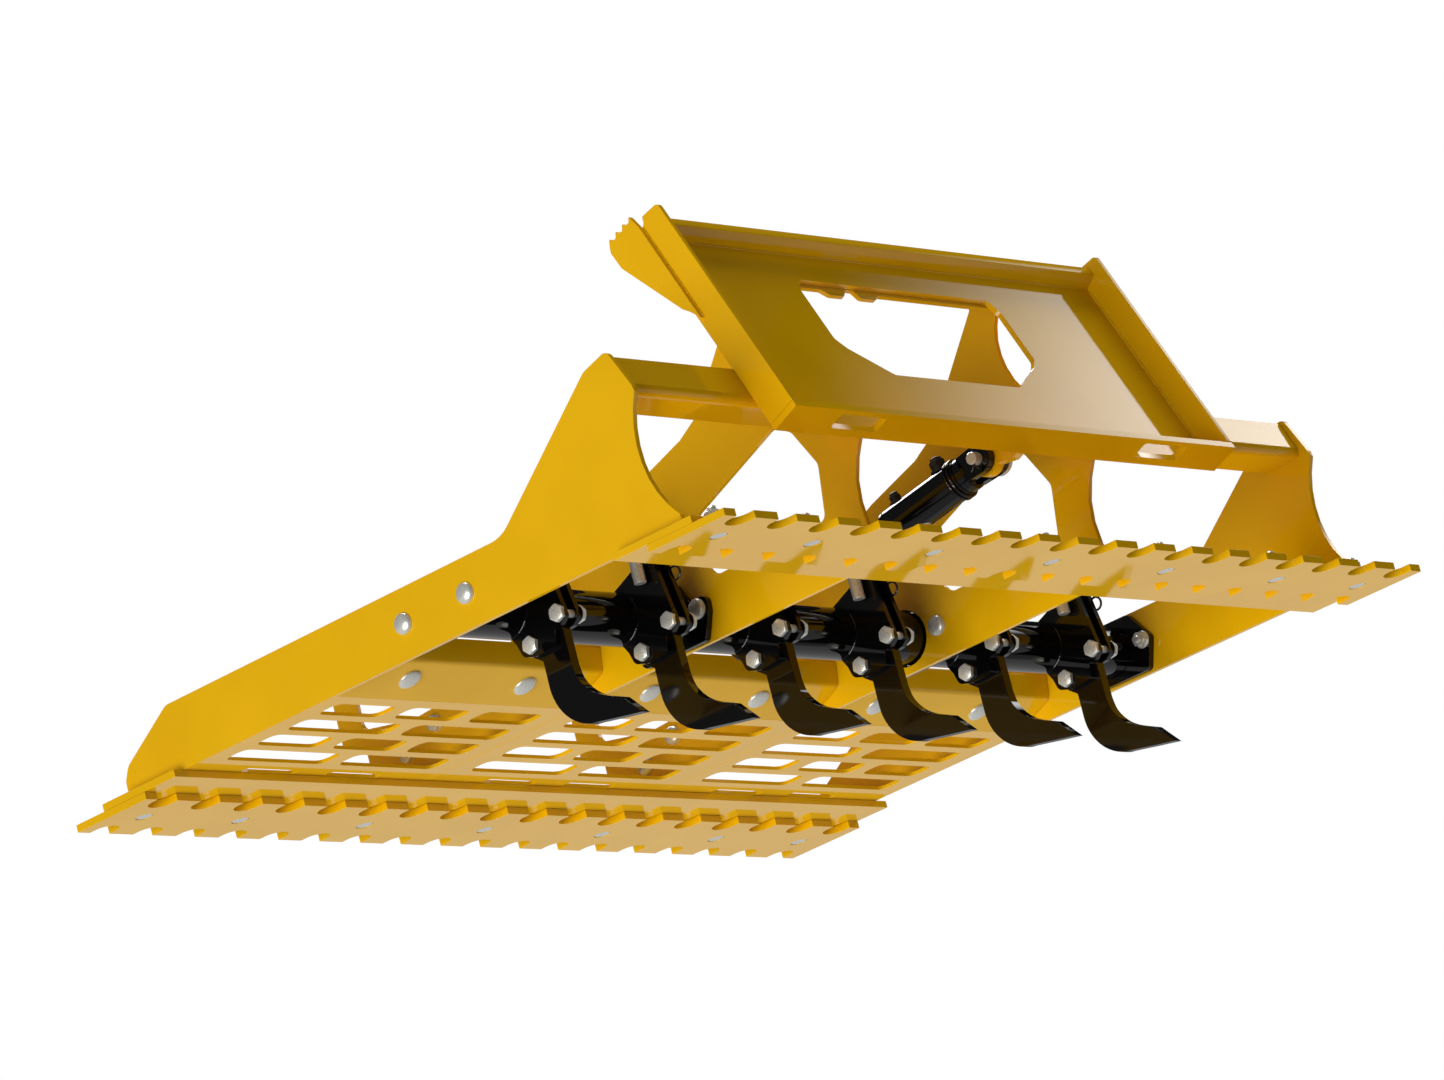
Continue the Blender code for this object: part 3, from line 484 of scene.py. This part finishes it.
def floor_ramp(bay):
    """Folded ramp with a tight bend, and two round bolt heads under it."""
    low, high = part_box(f"ramp_{bay}")
    x0, x1 = low.x / INCH, high.x / INCH
    (ya, za), (yb, zb), (yc, zc) = RAMP
    outline = rounded([(ya, za, 0.0), (ya, za + GRATE_THICK, 0.0), (yb + 0.2, zb + 0.2, 0.2),
                       (yc + 0.25, zc, 0.03), (yc, zc, 0.03), (yb, zb, 0.42)])
    bm = bmesh.new()
    add_slab(bm, outline, (), x0, x1)
    make_piece(f"ramp_{bay}_plate", bm, YELLOW, "frame", (f"ramp_{bay}",), 0.02)
    slope = Vector((0.0, yb - ya, zb - za)).normalized()
    down = Vector((0.0, slope.z, -slope.y))
    down = down if down.z < 0.0 else -down
    bm = bmesh.new()
    for shift in RAMP_BOLTS:
        seat = Vector(((x0 + x1) / 2 + shift, ya, za)) + slope * RAMP_BOLT_UP
        add_turned(bm, dome(0.8, 0.32), seat, down)
        add_washer(bm, seat, -down, 0.3, 0.7, GRATE_THICK, GRATE_THICK + 0.08)
        add_hex(bm, seat, -down, 0.95, GRATE_THICK + 0.08, GRATE_THICK + 0.6)
        add_thread(bm, seat, -down, 0.29, GRATE_THICK + 0.58, GRATE_THICK + 0.8)
    make_piece(f"ramp_{bay}_bolts", bm, ZINC, "frame")


def dome(radius, height, steps=8):
    """Profile of a carriage bolt's round head, from its seat to its top."""
    lip = 0.05
    profile = [(-0.02, 0.0), (-0.02, radius - 0.02), (lip * 0.4, radius), (lip, radius)]
    for k in range(1, steps + 1):
        a = math.pi / 2.0 * k / steps
        profile.append((lip + (height - lip) * math.sin(a), radius * math.cos(a) if k < steps else 0.0))
    return profile


# Outlines of the bearing plates on the side plates, and of the lower ones on the ribs
OUTER_BEARING = ((18.15, 3.35, 0.35), (19.6, 5.36, 0.5), (23.4, 5.36, 0.5), (24.85, 3.35, 0.35),
                 (24.05, 1.15, 0.4), (18.95, 1.15, 0.4))
INNER_BEARING = ((18.0, 2.9, 0.5), (17.9, 3.97, 0.5), (19.4, 3.97, 0.2), (20.2, 5.5, 0.5),
                 (23.3, 5.5, 0.5), (24.1, 3.97, 0.2), (25.1, 3.97, 0.5), (25.0, 2.9, 0.5),
                 (24.2, 1.1, 0.4), (18.8, 1.1, 0.4))
SIDE_BOLTS = ((18.85, 3.27), (24.3, 3.27))
BEARING_THICK = 0.5
# Tag, wall face that each bearing plate stands on, and the way it faces
BEARINGS = (("1", -SIDE_X + WALL, 1), ("2", -RIB_X - WALL / 2, -1), ("3", RIB_X + WALL / 2, 1),
            ("4", SIDE_X - WALL, -1))


def bearing(tag, face, side):
    """Bearing plate with a plain bore, and its two carriage bolts."""
    name = f"bearing_plate_{tag}"
    low = face + GAP if side > 0 else face - GAP - BEARING_THICK
    outline = rounded(OUTER_BEARING if tag in "14" else INNER_BEARING, 8)
    bm = bmesh.new()
    add_slab(bm, outline, [circle(SHAFT.y, SHAFT.z, SHAFT_R + 0.03, 64)], low, low + BEARING_THICK)
    make_piece(name + "_block", bm, BLACK, "frame", (name,), 0.06, 3)
    bm = bmesh.new()
    plate_out = GAP + BEARING_THICK
    wall_out = WALL + 0.005
    head_way, head_from, nut_way, nut_from = -side, wall_out, side, plate_out
    if tag == "2":
        head_way, head_from, nut_way, nut_from = side, plate_out, -side, wall_out
    for y, z in SIDE_BOLTS:
        seat = Vector((face, y, z))
        add_turned(bm, dome(0.7, 0.4), seat + Vector((head_way * head_from, 0, 0)), (head_way, 0, 0))
        add_washer(bm, seat, (nut_way, 0, 0), 0.28, 0.6, nut_from, nut_from + 0.06)
        add_hex(bm, seat, (nut_way, 0, 0), 0.94, nut_from + 0.06, nut_from + 0.5, 0.0, 0.4 * y)
        add_thread(bm, seat, (nut_way, 0, 0), 0.27, nut_from + 0.48, nut_from + 0.72)
    make_piece(name + "_bolts", bm, ZINC, "frame")


# ---------------------------------------------------------------- scarifier

SHANK_THICK, EAR_THICK = 0.75, 0.4
EAR_INNER = SHANK_THICK / 2 + 0.03
EAR_OUTER = EAR_INNER + EAR_THICK


def shaft():
    """The tube that carries the shanks and turns in the four bearing plates."""
    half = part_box("scarifier_shaft")[1].x / INCH
    profile = [(-half, 1.35), (-half, SHAFT_R - 0.06), (-half + 0.06, SHAFT_R), (half - 0.06, SHAFT_R),
               (half, SHAFT_R - 0.06), (half, 1.35)]
    bm = bmesh.new()
    add_turned(bm, profile, (0.0, SHAFT.y, SHAFT.z), (1, 0, 0), 96, loop=True)
    make_piece("shaft_tube", bm, BLACK, "scarifier", ("scarifier_shaft",))


def weld_ring(bm, x, radius, size):
    """A welder's bead round the shaft, scale upon scale."""
    count = 150
    rings = []
    for i in range(count):
        a = 2.0 * math.pi * i / count
        uneven = noise.noise(Vector((x, 7.0 * math.cos(a), 7.0 * math.sin(a))))
        grow = size * (1.0 + 0.25 * ((i % 5) / 4.0 - 0.5) + 0.15 * uneven)
        ring = []
        for k in range(10):
            b = 2.0 * math.pi * k / 10
            r = radius + grow * math.cos(b)
            ring.append(place(x + grow * math.sin(b), SHAFT.y + r * math.cos(a), SHAFT.z + r * math.sin(a)))
        rings.append(ring)
    add_rings(bm, rings, loop=True)


def collar():
    """Ring welded to the shaft beside a clamp."""
    low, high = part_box("shaft_collar")
    x0, x1 = low.x / INCH, high.x / INCH
    outer = (high.y - low.y) / 2.0 / INCH
    profile = [(x0, SHAFT_R), (x0, outer - 0.1), (x0 + 0.1, outer), (x1 - 0.1, outer), (x1, outer - 0.1),
               (x1, SHAFT_R)]
    bm = bmesh.new()
    add_turned(bm, profile, (0.0, SHAFT.y, SHAFT.z), (1, 0, 0), 96, loop=True)
    make_piece("collar_ring", bm, BLACK, "scarifier", ("shaft_collar",))
    bm = bmesh.new()
    for x in (x0 - 0.02, x1 + 0.02):
        weld_ring(bm, x, SHAFT_R + 0.08, 0.14)
    make_piece("collar_welds", bm, BLACK, "scarifier", clean=False)


def ear_outline(tall):
    """One clamp ear: welded round the shaft's machine side, reaching to both bolts."""
    hug = [(y, z, 0.0) for y, z in arc(SHAFT.y, SHAFT.z, SHAFT_R + 0.02, 272.0, 100.0, 36)]
    low_part = [(17.14, 1.95, 0.0), (17.1, 1.45, 0.3), (17.65, 1.05, 0.2), (18.2, 1.0, 0.15),
                (18.35, 0.0, 0.3), (19.3, -0.12, 0.0), (20.2, -0.15, 0.5), (21.2, 0.15, 0.5),
                (21.45, 1.0, 0.2)]
    if not tall:
        return rounded(hug + [(19.8, 5.1, 0.3), (17.55, 4.5, 0.4)] + low_part, 5)
    over_pin = [(y, z, 0.0) for y, z in arc(*LEVER_PIN, 1.05, 0.0, 180.0, 20)]
    return rounded(hug + [(19.3, 6.05, 0.4)] + over_pin + [(17.75, 5.7, 0.0)] + low_part, 5)


def clamp(index):
    """Two ears, their welds on the shaft, and two hex bolts with washers, nuts and thread ends."""
    name = f"clamp_{index + 1}"
    x = SHANK_X[index]
    tall = index in TALL
    holes = [circle(*BOLT_UP, BOLT_R + 0.02, 20), circle(*BOLT_LOW, BOLT_R + 0.02, 20)]
    if tall:
        holes.append(circle(*LEVER_PIN, PIN_R + 0.03, 24))
    bm = bmesh.new()
    for low in (x - EAR_OUTER, x + EAR_INNER):
        add_slab(bm, ear_outline(tall), holes, low, low + EAR_THICK)
    make_piece(name + "_ears", bm, BLACK, "scarifier", (name,), 0.04)

    bm = bmesh.new()
    for side in (-1, 1):
        path = [(x + side * (EAR_OUTER + 0.01), y, z)
                for y, z in arc(SHAFT.y, SHAFT.z, SHAFT_R + 0.02, 104.0, 268.0, 90)]
        add_tube(bm, path, 0.06, 8, 0.08, 0.3)
    make_piece(name + "_welds", bm, BLACK, "scarifier", clean=False)

    bm = bmesh.new()
    for y, z in (BOLT_UP, BOLT_LOW):
        seat = Vector((x, y, z))
        add_hex(bm, seat, (-1, 0, 0), 1.04, EAR_OUTER + 0.03, EAR_OUTER + 0.36, 0.0, 0.35 * y)
        add_turned(bm, [(-EAR_OUTER, 0.0), (-EAR_OUTER, BOLT_R), (EAR_OUTER, BOLT_R), (EAR_OUTER, 0.0)],
                   seat, (1, 0, 0))
        add_hex(bm, seat, (1, 0, 0), 1.04, EAR_OUTER + 0.03, EAR_OUTER + 0.45, 0.0, 0.2 * y)
        add_thread(bm, seat, (1, 0, 0), BOLT_R, EAR_OUTER + 0.44, EAR_OUTER + 0.68)
    make_piece(name + "_bolts", bm, ZINC, "scarifier")
    # Washers under the heads and nuts: real washers, painted black as painted shade, the dark ring of shade
    # round each head
    bm = bmesh.new()
    for y, z in (BOLT_UP, BOLT_LOW):
        for side in (-1, 1):
            add_washer(bm, Vector((x, y, z)), (side, 0, 0), BOLT_R, 0.6, EAR_OUTER, EAR_OUTER + 0.05)
    make_piece(name + "_washers_painted_shade", bm, BLACK, "scarifier")


def shank(index):
    """J-shaped tooth, flame cut from plate, its edges broken."""
    name = f"shank_{index + 1}"
    x = SHANK_X[index]
    inner = [(17.9, 2.95), (17.9, -1.5)]
    inner += [(p.x, p.y) for p in smooth_path([(17.9, -1.5, 0), (17.72, -2.45, 0), (17.15, -3.35, 0),
                                               (16.3, -4.05, 0), (14.62, -4.85, 0)], 5)][1:]
    outline = inner + [(13.35, -6.3), (15.2, -5.98), (17.0, -5.65)]
    outline += arc(16.6, -2.2, 3.5, -74.0, 0.0, 22)
    outline += [(20.08, -0.5), (20.9, 0.1), (20.9, 1.2), (19.75, 2.0), (19.7, 2.95)]
    bm = bmesh.new()
    add_slab(bm, outline, [circle(*BOLT_LOW, BOLT_R + 0.02, 20)],
             x - SHANK_THICK / 2, x + SHANK_THICK / 2)
    make_piece(name + "_tine", bm, BLACK, "scarifier", (name,), 0.05)


def lever_pin(number, index):
    """Bent pin through the tall ears, its handle hanging on the left, with its hairpin clip."""
    y, z = LEVER_PIN
    x = SHANK_X[index]
    handle_x, bend = 1.35, 0.45
    elbow = [(x - handle_x + bend * (1 - math.sin(a)), y, z - bend * (1 - math.cos(a)))
             for a in [math.pi / 2 * k / 8 for k in range(9)]]
    bm = bmesh.new()
    path = [(x + 1.5, y, z), (x + 1.0, y, z), (x, y, z)] + elbow
    path += [(x - handle_x, y, z - 2.0), (x - handle_x, y, z - 3.3)]
    add_tube(bm, path, PIN_R, 28)
    make_piece(f"lever_pin_{number}_bar", bm, ZINC, "scarifier", (f"lever_pin_{number}",), 0.07, 3)
    clip_x = x + 1.1
    loop = [(clip_x, y - 0.96 - 0.45 * math.cos(a), z - 2.8 - 0.45 * math.sin(a))
            for a in [math.radians(-160 + 15 * k) for k in range(19)]]
    bm = bmesh.new()
    add_tube(bm, [(clip_x, y - PIN_R - 0.1, z + 0.5), (clip_x, y - PIN_R - 0.1, z - 2.3)] + loop, 0.08, 10)
    make_piece(f"hairpin_{number}_wire", bm, WIRE, "scarifier", (f"hairpin_{number}",), clean=False)


# ---------------------------------------------------------------- cylinder

BARREL_R, BARREL_FROM, BARREL_TO = 1.3, 2.1, 8.5
TONGUE = 2.55
REACH = (Vector(LEVER_PIN) - Vector((CYL_BASE.y, CYL_BASE.z))).length


def along(distance, rise=0.0, shift=0.0):
    """A point by its distance along the cylinder, its rise from the axis and its shift across."""
    return CYL_BASE + CYL_ALONG * distance + CYL_UP * rise + Vector((shift, 0, 0))


def in_line(u, v, w):
    """Outline in the cylinder's own side view, depth across it."""
    return place(*along(u, v, w))


def cylinder():
    """Barrel with capped ports and gland on one body, rod with its eye on the other."""
    bm = bmesh.new()
    profile = [(BARREL_FROM, 1.02), (BARREL_FROM, BARREL_R - 0.04), (BARREL_FROM + 0.04, BARREL_R),
               (2.3, BARREL_R), (2.32, BARREL_R + 0.12), (2.36, BARREL_R + 0.14), (2.5, BARREL_R + 0.14),
               (2.54, BARREL_R + 0.1), (2.56, BARREL_R + 0.01), (2.62, BARREL_R + 0.01),
               (2.64, BARREL_R + 0.12), (2.68, BARREL_R + 0.14), (2.78, BARREL_R + 0.14),
               (2.82, BARREL_R + 0.1), (2.84, BARREL_R),
               (BARREL_TO - 0.04, BARREL_R), (BARREL_TO, BARREL_R - 0.04), (BARREL_TO, 1.02)]
    add_turned(bm, profile, CYL_BASE, CYL_ALONG, 96, loop=True)
    make_piece("cylinder_tube", bm, BLACK, "barrel", ("cylinder_barrel",))

    bm = bmesh.new()
    for distance, radius, height in ((3.7, 0.55, 0.98), (7.8, 0.4, 0.78)):
        foot = along(distance, BARREL_R)
        profile = [(-0.1, 0.0), (-0.1, radius + 0.12), (0.1, radius + 0.1), (0.16, radius * 0.86),
                   (0.34, radius * 0.86), (0.36, radius * 0.86)]
        add_turned(bm, profile + [(0.36, 0.0)], foot, CYL_UP)
        add_hex(bm, foot, CYL_UP, radius * 1.9, 0.36, height - 0.25)
        add_turned(bm, [(height - 0.26, 0.0), (height - 0.26, radius * 0.75), (height - 0.05, radius * 0.75),
                        (height, radius * 0.6), (height, 0.0)], foot, CYL_UP)
    make_piece("cylinder_port_caps", bm, RUBBER, "barrel")

    bm = bmesh.new()
    start = BARREL_TO + GAP
    profile = [(start, 0.62), (start, BARREL_R - 0.02), (start + 0.1, BARREL_R), (start + 0.16, BARREL_R),
               (start + 0.18, BARREL_R - 0.08), (start + 0.24, BARREL_R - 0.08), (start + 0.26, BARREL_R),
               (start + 0.44, BARREL_R - 0.02), (start + 0.48, BARREL_R - 0.1), (start + 0.48, 0.72),
               (start + 0.42, 0.62)]
    add_turned(bm, profile, CYL_BASE, CYL_ALONG, 96, loop=True)
    make_piece("cylinder_gland_nut", bm, BLACK, "barrel", ("cylinder_gland",))

    eye = arc(0.0, 0.0, 1.0, 90.0, 270.0, 28)
    bm = bmesh.new()
    for low in (-1.05, 0.5):
        add_slab(bm, eye + [(1.6, -0.9), (1.6, 0.9)], [circle(0.0, 0.0, PIN_R + GAP, 28)],
                 low, low + 0.55, in_line)
    make_piece("clevis_ears", bm, BLACK, "barrel", ("base_clevis",), 0.05, 3)
    bm = bmesh.new()
    profile = [(1.35, 0.0), (1.35, 1.1), (1.5, 1.25), (BARREL_FROM - 0.05, 1.25), (BARREL_FROM - GAP, 1.2),
               (BARREL_FROM - GAP, 0.0)]
    add_turned(bm, profile, CYL_BASE, CYL_ALONG, 64)
    make_piece("clevis_cap", bm, BLACK, "barrel")

    bm = bmesh.new()
    profile = [(2.6, 0.0), (2.6, 0.9), (2.66, 0.96), (2.95, 0.96), (2.97, 0.9), (3.05, 0.9), (3.07, 0.96),
               (3.34, 0.96), (3.4, 0.9), (3.4, 0.6), (REACH - TONGUE - 0.06, 0.6),
               (REACH - TONGUE, 0.55), (REACH - TONGUE, 0.0)]
    add_turned(bm, profile, CYL_BASE, CYL_ALONG, 64)
    make_piece("piston_rod", bm, CHROME, "rod", ("cylinder_rod",))

    def at_eye(u, v, w):
        return in_line(REACH + u, v, w)

    outline = arc(0.0, 0.0, 1.2, -150.0, 150.0, 40) + [(GAP - TONGUE, 0.59), (GAP - TONGUE, -0.59)]
    bm = bmesh.new()
    add_slab(bm, outline, [circle(0.0, 0.0, PIN_R + 0.45, 40)], -0.33, 0.33, at_eye)
    make_piece("rod_eye_forging", bm, BLACK, "rod", ("rod_eye",), 0.06, 3)


def base_pin():
    """Headed pin with a drilled end and its split pin."""
    bm = bmesh.new()
    profile = [(-1.75, 0.0), (-1.75, PIN_R - 0.07), (-1.68, PIN_R), (1.15, PIN_R), (1.15, 0.95), (1.2, 1.0),
               (1.42, 1.0), (1.5, 0.9), (1.5, 0.0)]
    add_turned(bm, profile, CYL_BASE, (1, 0, 0), 48)
    make_piece("base_pin_bar", bm, ZINC, "frame", ("base_pin",))
    x = CYL_BASE.x - 1.5
    y, z = CYL_BASE.y, CYL_BASE.z
    ring = [(x, y - 0.28 + 0.2 * math.cos(a), z + 0.72 + 0.2 * math.sin(a))
            for a in [math.radians(-60 + 20 * k) for k in range(16)]]
    legs = [(x, y - 0.05, z + 0.45), (x, y, z), (x - 0.05, y + 0.05, z - 0.5), (x - 0.12, y + 0.3, z - 0.85)]
    other = [(x, y + 0.02, z + 0.42), (x + 0.02, y + 0.06, z), (x - 0.02, y - 0.02, z - 0.5),
             (x - 0.05, y - 0.28, z - 0.8)]
    bm = bmesh.new()
    for path in (ring, smooth_path(legs), smooth_path(other)):
        add_tube(bm, path, 0.07, 10)
    make_piece("base_pin_split_pin", bm, WIRE, "frame", clean=False)


# ---------------------------------------------------------------- welds of the frame

def seam(bm, a, b, radius=0.13):
    """A straight fillet bead from a to b."""
    a, b = Vector(a), Vector(b)
    count = max(8, int((b - a).length / 0.07))
    add_tube(bm, [a.lerp(b, i / count) for i in range(count + 1)], radius, 8, 0.22, 0.3)


HITCH_TILT, HITCH_FOOT = math.radians(22.1), (-0.5, 9.1)


def hitch(offset, height):
    """A point (y, z) of the hitch's side view: behind its machine-side line, and height along it."""
    c, s = math.cos(HITCH_TILT), math.sin(HITCH_TILT)
    return (HITCH_FOOT[0] + c * offset + s * height, HITCH_FOOT[1] - s * offset + c * height)


RIB_BOLTS = ((42.7, 4.2), (45.6, 3.0))


def rib_bolts():
    """Carriage bolts through the front of each rib: round heads in the middle bay, nuts outside."""
    bm = bmesh.new()
    for x, outward in ((-RIB_X, -1), (RIB_X, 1)):
        for y, z in RIB_BOLTS:
            seat = Vector((x, y, z))
            add_turned(bm, dome(0.66, 0.42), seat - Vector((outward * 0.19, 0, 0)), (-outward, 0, 0))
            add_washer(bm, seat, (outward, 0, 0), 0.27, 0.56, 0.19, 0.27)
            add_hex(bm, seat, (outward, 0, 0), 0.96, 0.27, 0.65, 0.0, 0.3 * y)
            add_thread(bm, seat, (outward, 0, 0), 0.27, 0.64, 0.88)
    make_piece("rib_bolts", bm, ZINC, "frame")


def frame_welds():
    """Fillet beads where the walls meet the floor, the ramps, the beam and the hitch."""
    bm = bmesh.new()
    floor_seam = FLOOR_Z + 0.05
    inside = HITCH_HALF - WALL
    for side in (-1, 1):
        x = side * (SIDE_X - WALL)
        for start, stop in ((3.6, 6.0), (44.9, 49.4)):
            seam(bm, (x, start, floor_seam), (x, stop, floor_seam))
        for rib_side in (-1, 1):
            rx = side * RIB_X + rib_side * WALL / 2
            seam(bm, (rx, 3.6, floor_seam), (rx, 6.0, floor_seam))
            seam(bm, (rx, *hitch(2.29, 14.4)), (rx, *hitch(2.29, 16.2)))
            seam(bm, (rx, 28.3, 2.7), (rx, 31.2, 1.35))
        seam(bm, (x, 28.3, 2.7), (x, 31.2, 1.35))
        seam(bm, (x, 5.8, 10.78), (x, 3.4, 10.78))
        gx = side * inside
        seam(bm, (gx, *hitch(1.88, 0.7)), (gx, *hitch(1.88, 16.1)), 0.1)
        seam(bm, (gx, *hitch(2.29, 0.7)), (gx, *hitch(2.29, 16.1)), 0.1)
        seam(bm, (side * HITCH_HALF, *hitch(1.86, 9.4)), (side * HITCH_HALF, *hitch(1.86, 17.1)), 0.09)
    seam(bm, (-inside, *hitch(1.9, 16.28)), (inside, *hitch(1.9, 16.28)), 0.06)
    seam(bm, (-inside, *hitch(1.88, 0.5)), (inside, *hitch(1.88, 0.5)), 0.08)
    make_piece("frame_welds", bm, YELLOW, "frame", clean=False)


# ---------------------------------------------------------------- build

cutting_edge("rear_cutting_edge", 0.0)
cutting_edge("front_cutting_edge", (FRONT_LOW.y + FRONT_HIGH.y - 2.0 * ROW_Y) / 2.0 / INCH)
for bay_name in ("left", "middle", "right"):
    floor_ramp(bay_name)
    dress(f"floor_grate_{bay_name}", 0.025)
for plate in ("rear_base_plate", "front_base_plate", "side_plate_left", "side_plate_right", "cross_beam",
              "hitch_plate", "hitch_lip", "hitch_flange", "hitch_gusset_left", "hitch_gusset_right",
              "step_plate_left", "step_plate_right", "hose_guard", "beam_lug"):
    dress(plate)
rib_plate("rib_left", -RIB_X)
rib_plate("rib_right", RIB_X)
for bearing_row in BEARINGS:
    bearing(*bearing_row)
shaft()
collar()
for shank_index in range(6):
    clamp(shank_index)
    shank(shank_index)
for pin_number, shank_index in enumerate(TALL, 1):
    lever_pin(pin_number, shank_index)
cylinder()
base_pin()
rib_bolts()
frame_welds()


# ---------------------------------------------------------------- studio

WHITE = (1.0, 1.0, 1.0, 1.0)
LOW_GLOW, LOW_DIM, LOW_BRIGHT = (0.79, 0.61, 0.0), 0.15, 0.54   # below: the way to its brightest side
HIGH_GLOW, UPPER_LEFT = (-0.87, 0.3, 0.35), 0.1                 # above: the middle of the glow on the left
FLOOR_HALF, FLOOR_DOWN = 150.0, -9.0                            # half width and height in metres


def world_dot(tree, direction, towards):
    """How far direction points the way of towards."""
    made = tree.nodes.new("ShaderNodeVectorMath")
    made.operation = "DOT_PRODUCT"
    made.inputs[1].default_value = towards
    tree.links.new(direction, made.inputs[0])
    return made.outputs["Value"]


def world_math(tree, operation, one, two):
    made = tree.nodes.new("ShaderNodeMath")
    made.operation = operation
    tree.links.new(one, made.inputs[0])
    tree.links.new(two, made.inputs[1])
    return made.outputs["Value"]


def studio_world():
    """White to the eye; it lights the bucket from below, most from the right, and from the upper left."""
    world = bpy.data.worlds.new("studio")
    bpy.context.scene.world = world
    world.use_nodes = True
    tree = world.node_tree
    tree.nodes.clear()
    direction = tree.nodes.new("ShaderNodeTexCoord").outputs["Generated"]
    split = tree.nodes.new("ShaderNodeSeparateXYZ")
    tree.links.new(direction, split.inputs["Vector"])
    glow = map_range(tree, world_dot(tree, direction, LOW_GLOW), -1.0, 1.0, LOW_DIM, LOW_BRIGHT)
    horizon = map_range(tree, split.outputs["Z"], -0.1, 0.06, 1.0, 0.03)
    upper_left = map_range(tree, world_dot(tree, direction, HIGH_GLOW), 0.35, 0.95, 0.0, UPPER_LEFT)
    strength = world_math(tree, "ADD", world_math(tree, "MULTIPLY", glow, horizon), upper_left)
    lighting = node(tree, "ShaderNodeBackground", Color=WHITE)
    tree.links.new(strength, lighting.inputs["Strength"])
    backdrop = node(tree, "ShaderNodeBackground", Color=WHITE, Strength=1.0)
    path = tree.nodes.new("ShaderNodeLightPath")
    mix = tree.nodes.new("ShaderNodeMixShader")
    tree.links.new(path.outputs["Is Camera Ray"], mix.inputs["Fac"])
    tree.links.new(lighting.outputs["Background"], mix.inputs[1])
    tree.links.new(backdrop.outputs["Background"], mix.inputs[2])
    output = tree.nodes.new("ShaderNodeOutputWorld")
    tree.links.new(mix.outputs["Shader"], output.inputs["Surface"])


def stage_square(name, half, height, material):
    """A level square of the studio, not part of the bucket."""
    corners = ((-half, -half), (half, -half), (half, half), (-half, half))
    bm = bmesh.new()
    bm.faces.new([bm.verts.new((x, y, height)) for x, y in corners])
    mesh = bpy.data.meshes.new(name)
    bm.to_mesh(mesh)
    bm.free()
    mesh.materials.append(material)
    obj = bpy.data.objects.new(name, mesh)
    bpy.context.scene.collection.objects.link(obj)
    return obj


def studio_floor():
    """A wide pale floor, so far down that the low camera is still above it; only the camera sees it."""
    material, tree, shader = new_material("studio_floor")
    tone = ramp(tree, object_noise(tree, 0.6, 2.0), (0.86, 0.86, 0.85), (0.90, 0.90, 0.89))
    tree.links.new(tone, shader.inputs["Base Color"])
    shader.inputs["Roughness"].default_value = 0.9
    obj = stage_square("studio_floor", FLOOR_HALF, FLOOR_DOWN, material)
    for ray in ("diffuse", "glossy", "transmission", "shadow"):
        setattr(obj, "visible_" + ray, False)


def aim(obj, towards):
    obj.rotation_mode = "QUATERNION"
    obj.rotation_quaternion = Vector(towards).to_track_quat("-Z", "Y")


def sun(name, from_direction, strength, angle, glossy=True):
    """A soft sun from a direction; glossy says whether it shows in reflections."""
    lamp = bpy.data.lights.new(name, "SUN")
    lamp.energy = strength
    lamp.angle = math.radians(angle)
    obj = bpy.data.objects.new(name, lamp)
    aim(obj, -Vector(from_direction))
    obj.visible_glossy = glossy
    bpy.context.scene.collection.objects.link(obj)


def softbox(name, location, target, side, radiance):
    """A square softbox, brightest in its middle, that the eye does not see."""
    half = side / 2.0
    material = bpy.data.materials.new(name)
    material.use_nodes = True
    tree = material.node_tree
    tree.nodes.clear()
    spot = tree.nodes.new("ShaderNodeVectorMath")
    spot.operation = "LENGTH"
    tree.links.new(tree.nodes.new("ShaderNodeTexCoord").outputs["Object"], spot.inputs[0])
    fall = map_range(tree, spot.outputs["Value"], 0.0, half, radiance, 0.0, "SMOOTHSTEP")
    glow = tree.nodes.new("ShaderNodeEmission")
    tree.links.new(fall, glow.inputs["Strength"])
    output = tree.nodes.new("ShaderNodeOutputMaterial")
    tree.links.new(glow.outputs["Emission"], output.inputs["Surface"])
    obj = stage_square(name, half, 0.0, material)
    obj.location = location
    aim(obj, Vector(target) - Vector(location))
    obj.visible_camera = False
    obj.visible_shadow = False


CAMERA_AT, CAMERA_LENS = (-11.4522, -8.8562, -3.5327), 223.9    # metres; millimetres
CAMERA_ANGLES = (-52.2957, -15.3594, -14.4666)                  # azimuth, elevation and roll in degrees


def camera():
    """Long lens from below and to the left of the machine's side, rolled as in the photograph."""
    data = bpy.data.cameras.new("camera")
    data.sensor_width = 36.0
    data.lens = CAMERA_LENS
    data.clip_end = 500.0
    obj = bpy.data.objects.new("camera", data)
    azimuth, elevation, roll = (math.radians(angle) for angle in CAMERA_ANGLES)
    back = Vector((math.sin(azimuth) * math.cos(elevation), -math.cos(azimuth) * math.cos(elevation),
                   math.sin(elevation)))
    right = (-back).cross(Vector((0, 0, 1))).normalized()
    up = right.cross(-back)
    side = math.cos(roll) * right + math.sin(roll) * up
    head = math.cos(roll) * up - math.sin(roll) * right
    turn = Matrix((side, head, back)).transposed()
    obj.matrix_world = Matrix.Translation(CAMERA_AT) @ turn.to_4x4()
    bpy.context.scene.collection.objects.link(obj)
    bpy.context.scene.camera = obj


studio_world()
studio_floor()
sun("key", (-0.95, -0.05, -0.3), 2.55, 45.0)
sun("below", (0.1, 0.45, -0.88), 0.9, 40.0, False)
sun("top", (0.15, 0.1, 1.0), 1.8, 25.0)
sun("fill", (0.45, 0.55, 0.7), 1.6, 30.0)
sun("rear", (0.75, -0.5, 0.5), 0.45, 40.0, False)
softbox("right_softbox", (2.9, -1.0, 1.8), (0.6, -0.5, 0.5), 2.15, 5.0)
camera()
bpy.context.scene.view_settings.view_transform = "Standard"
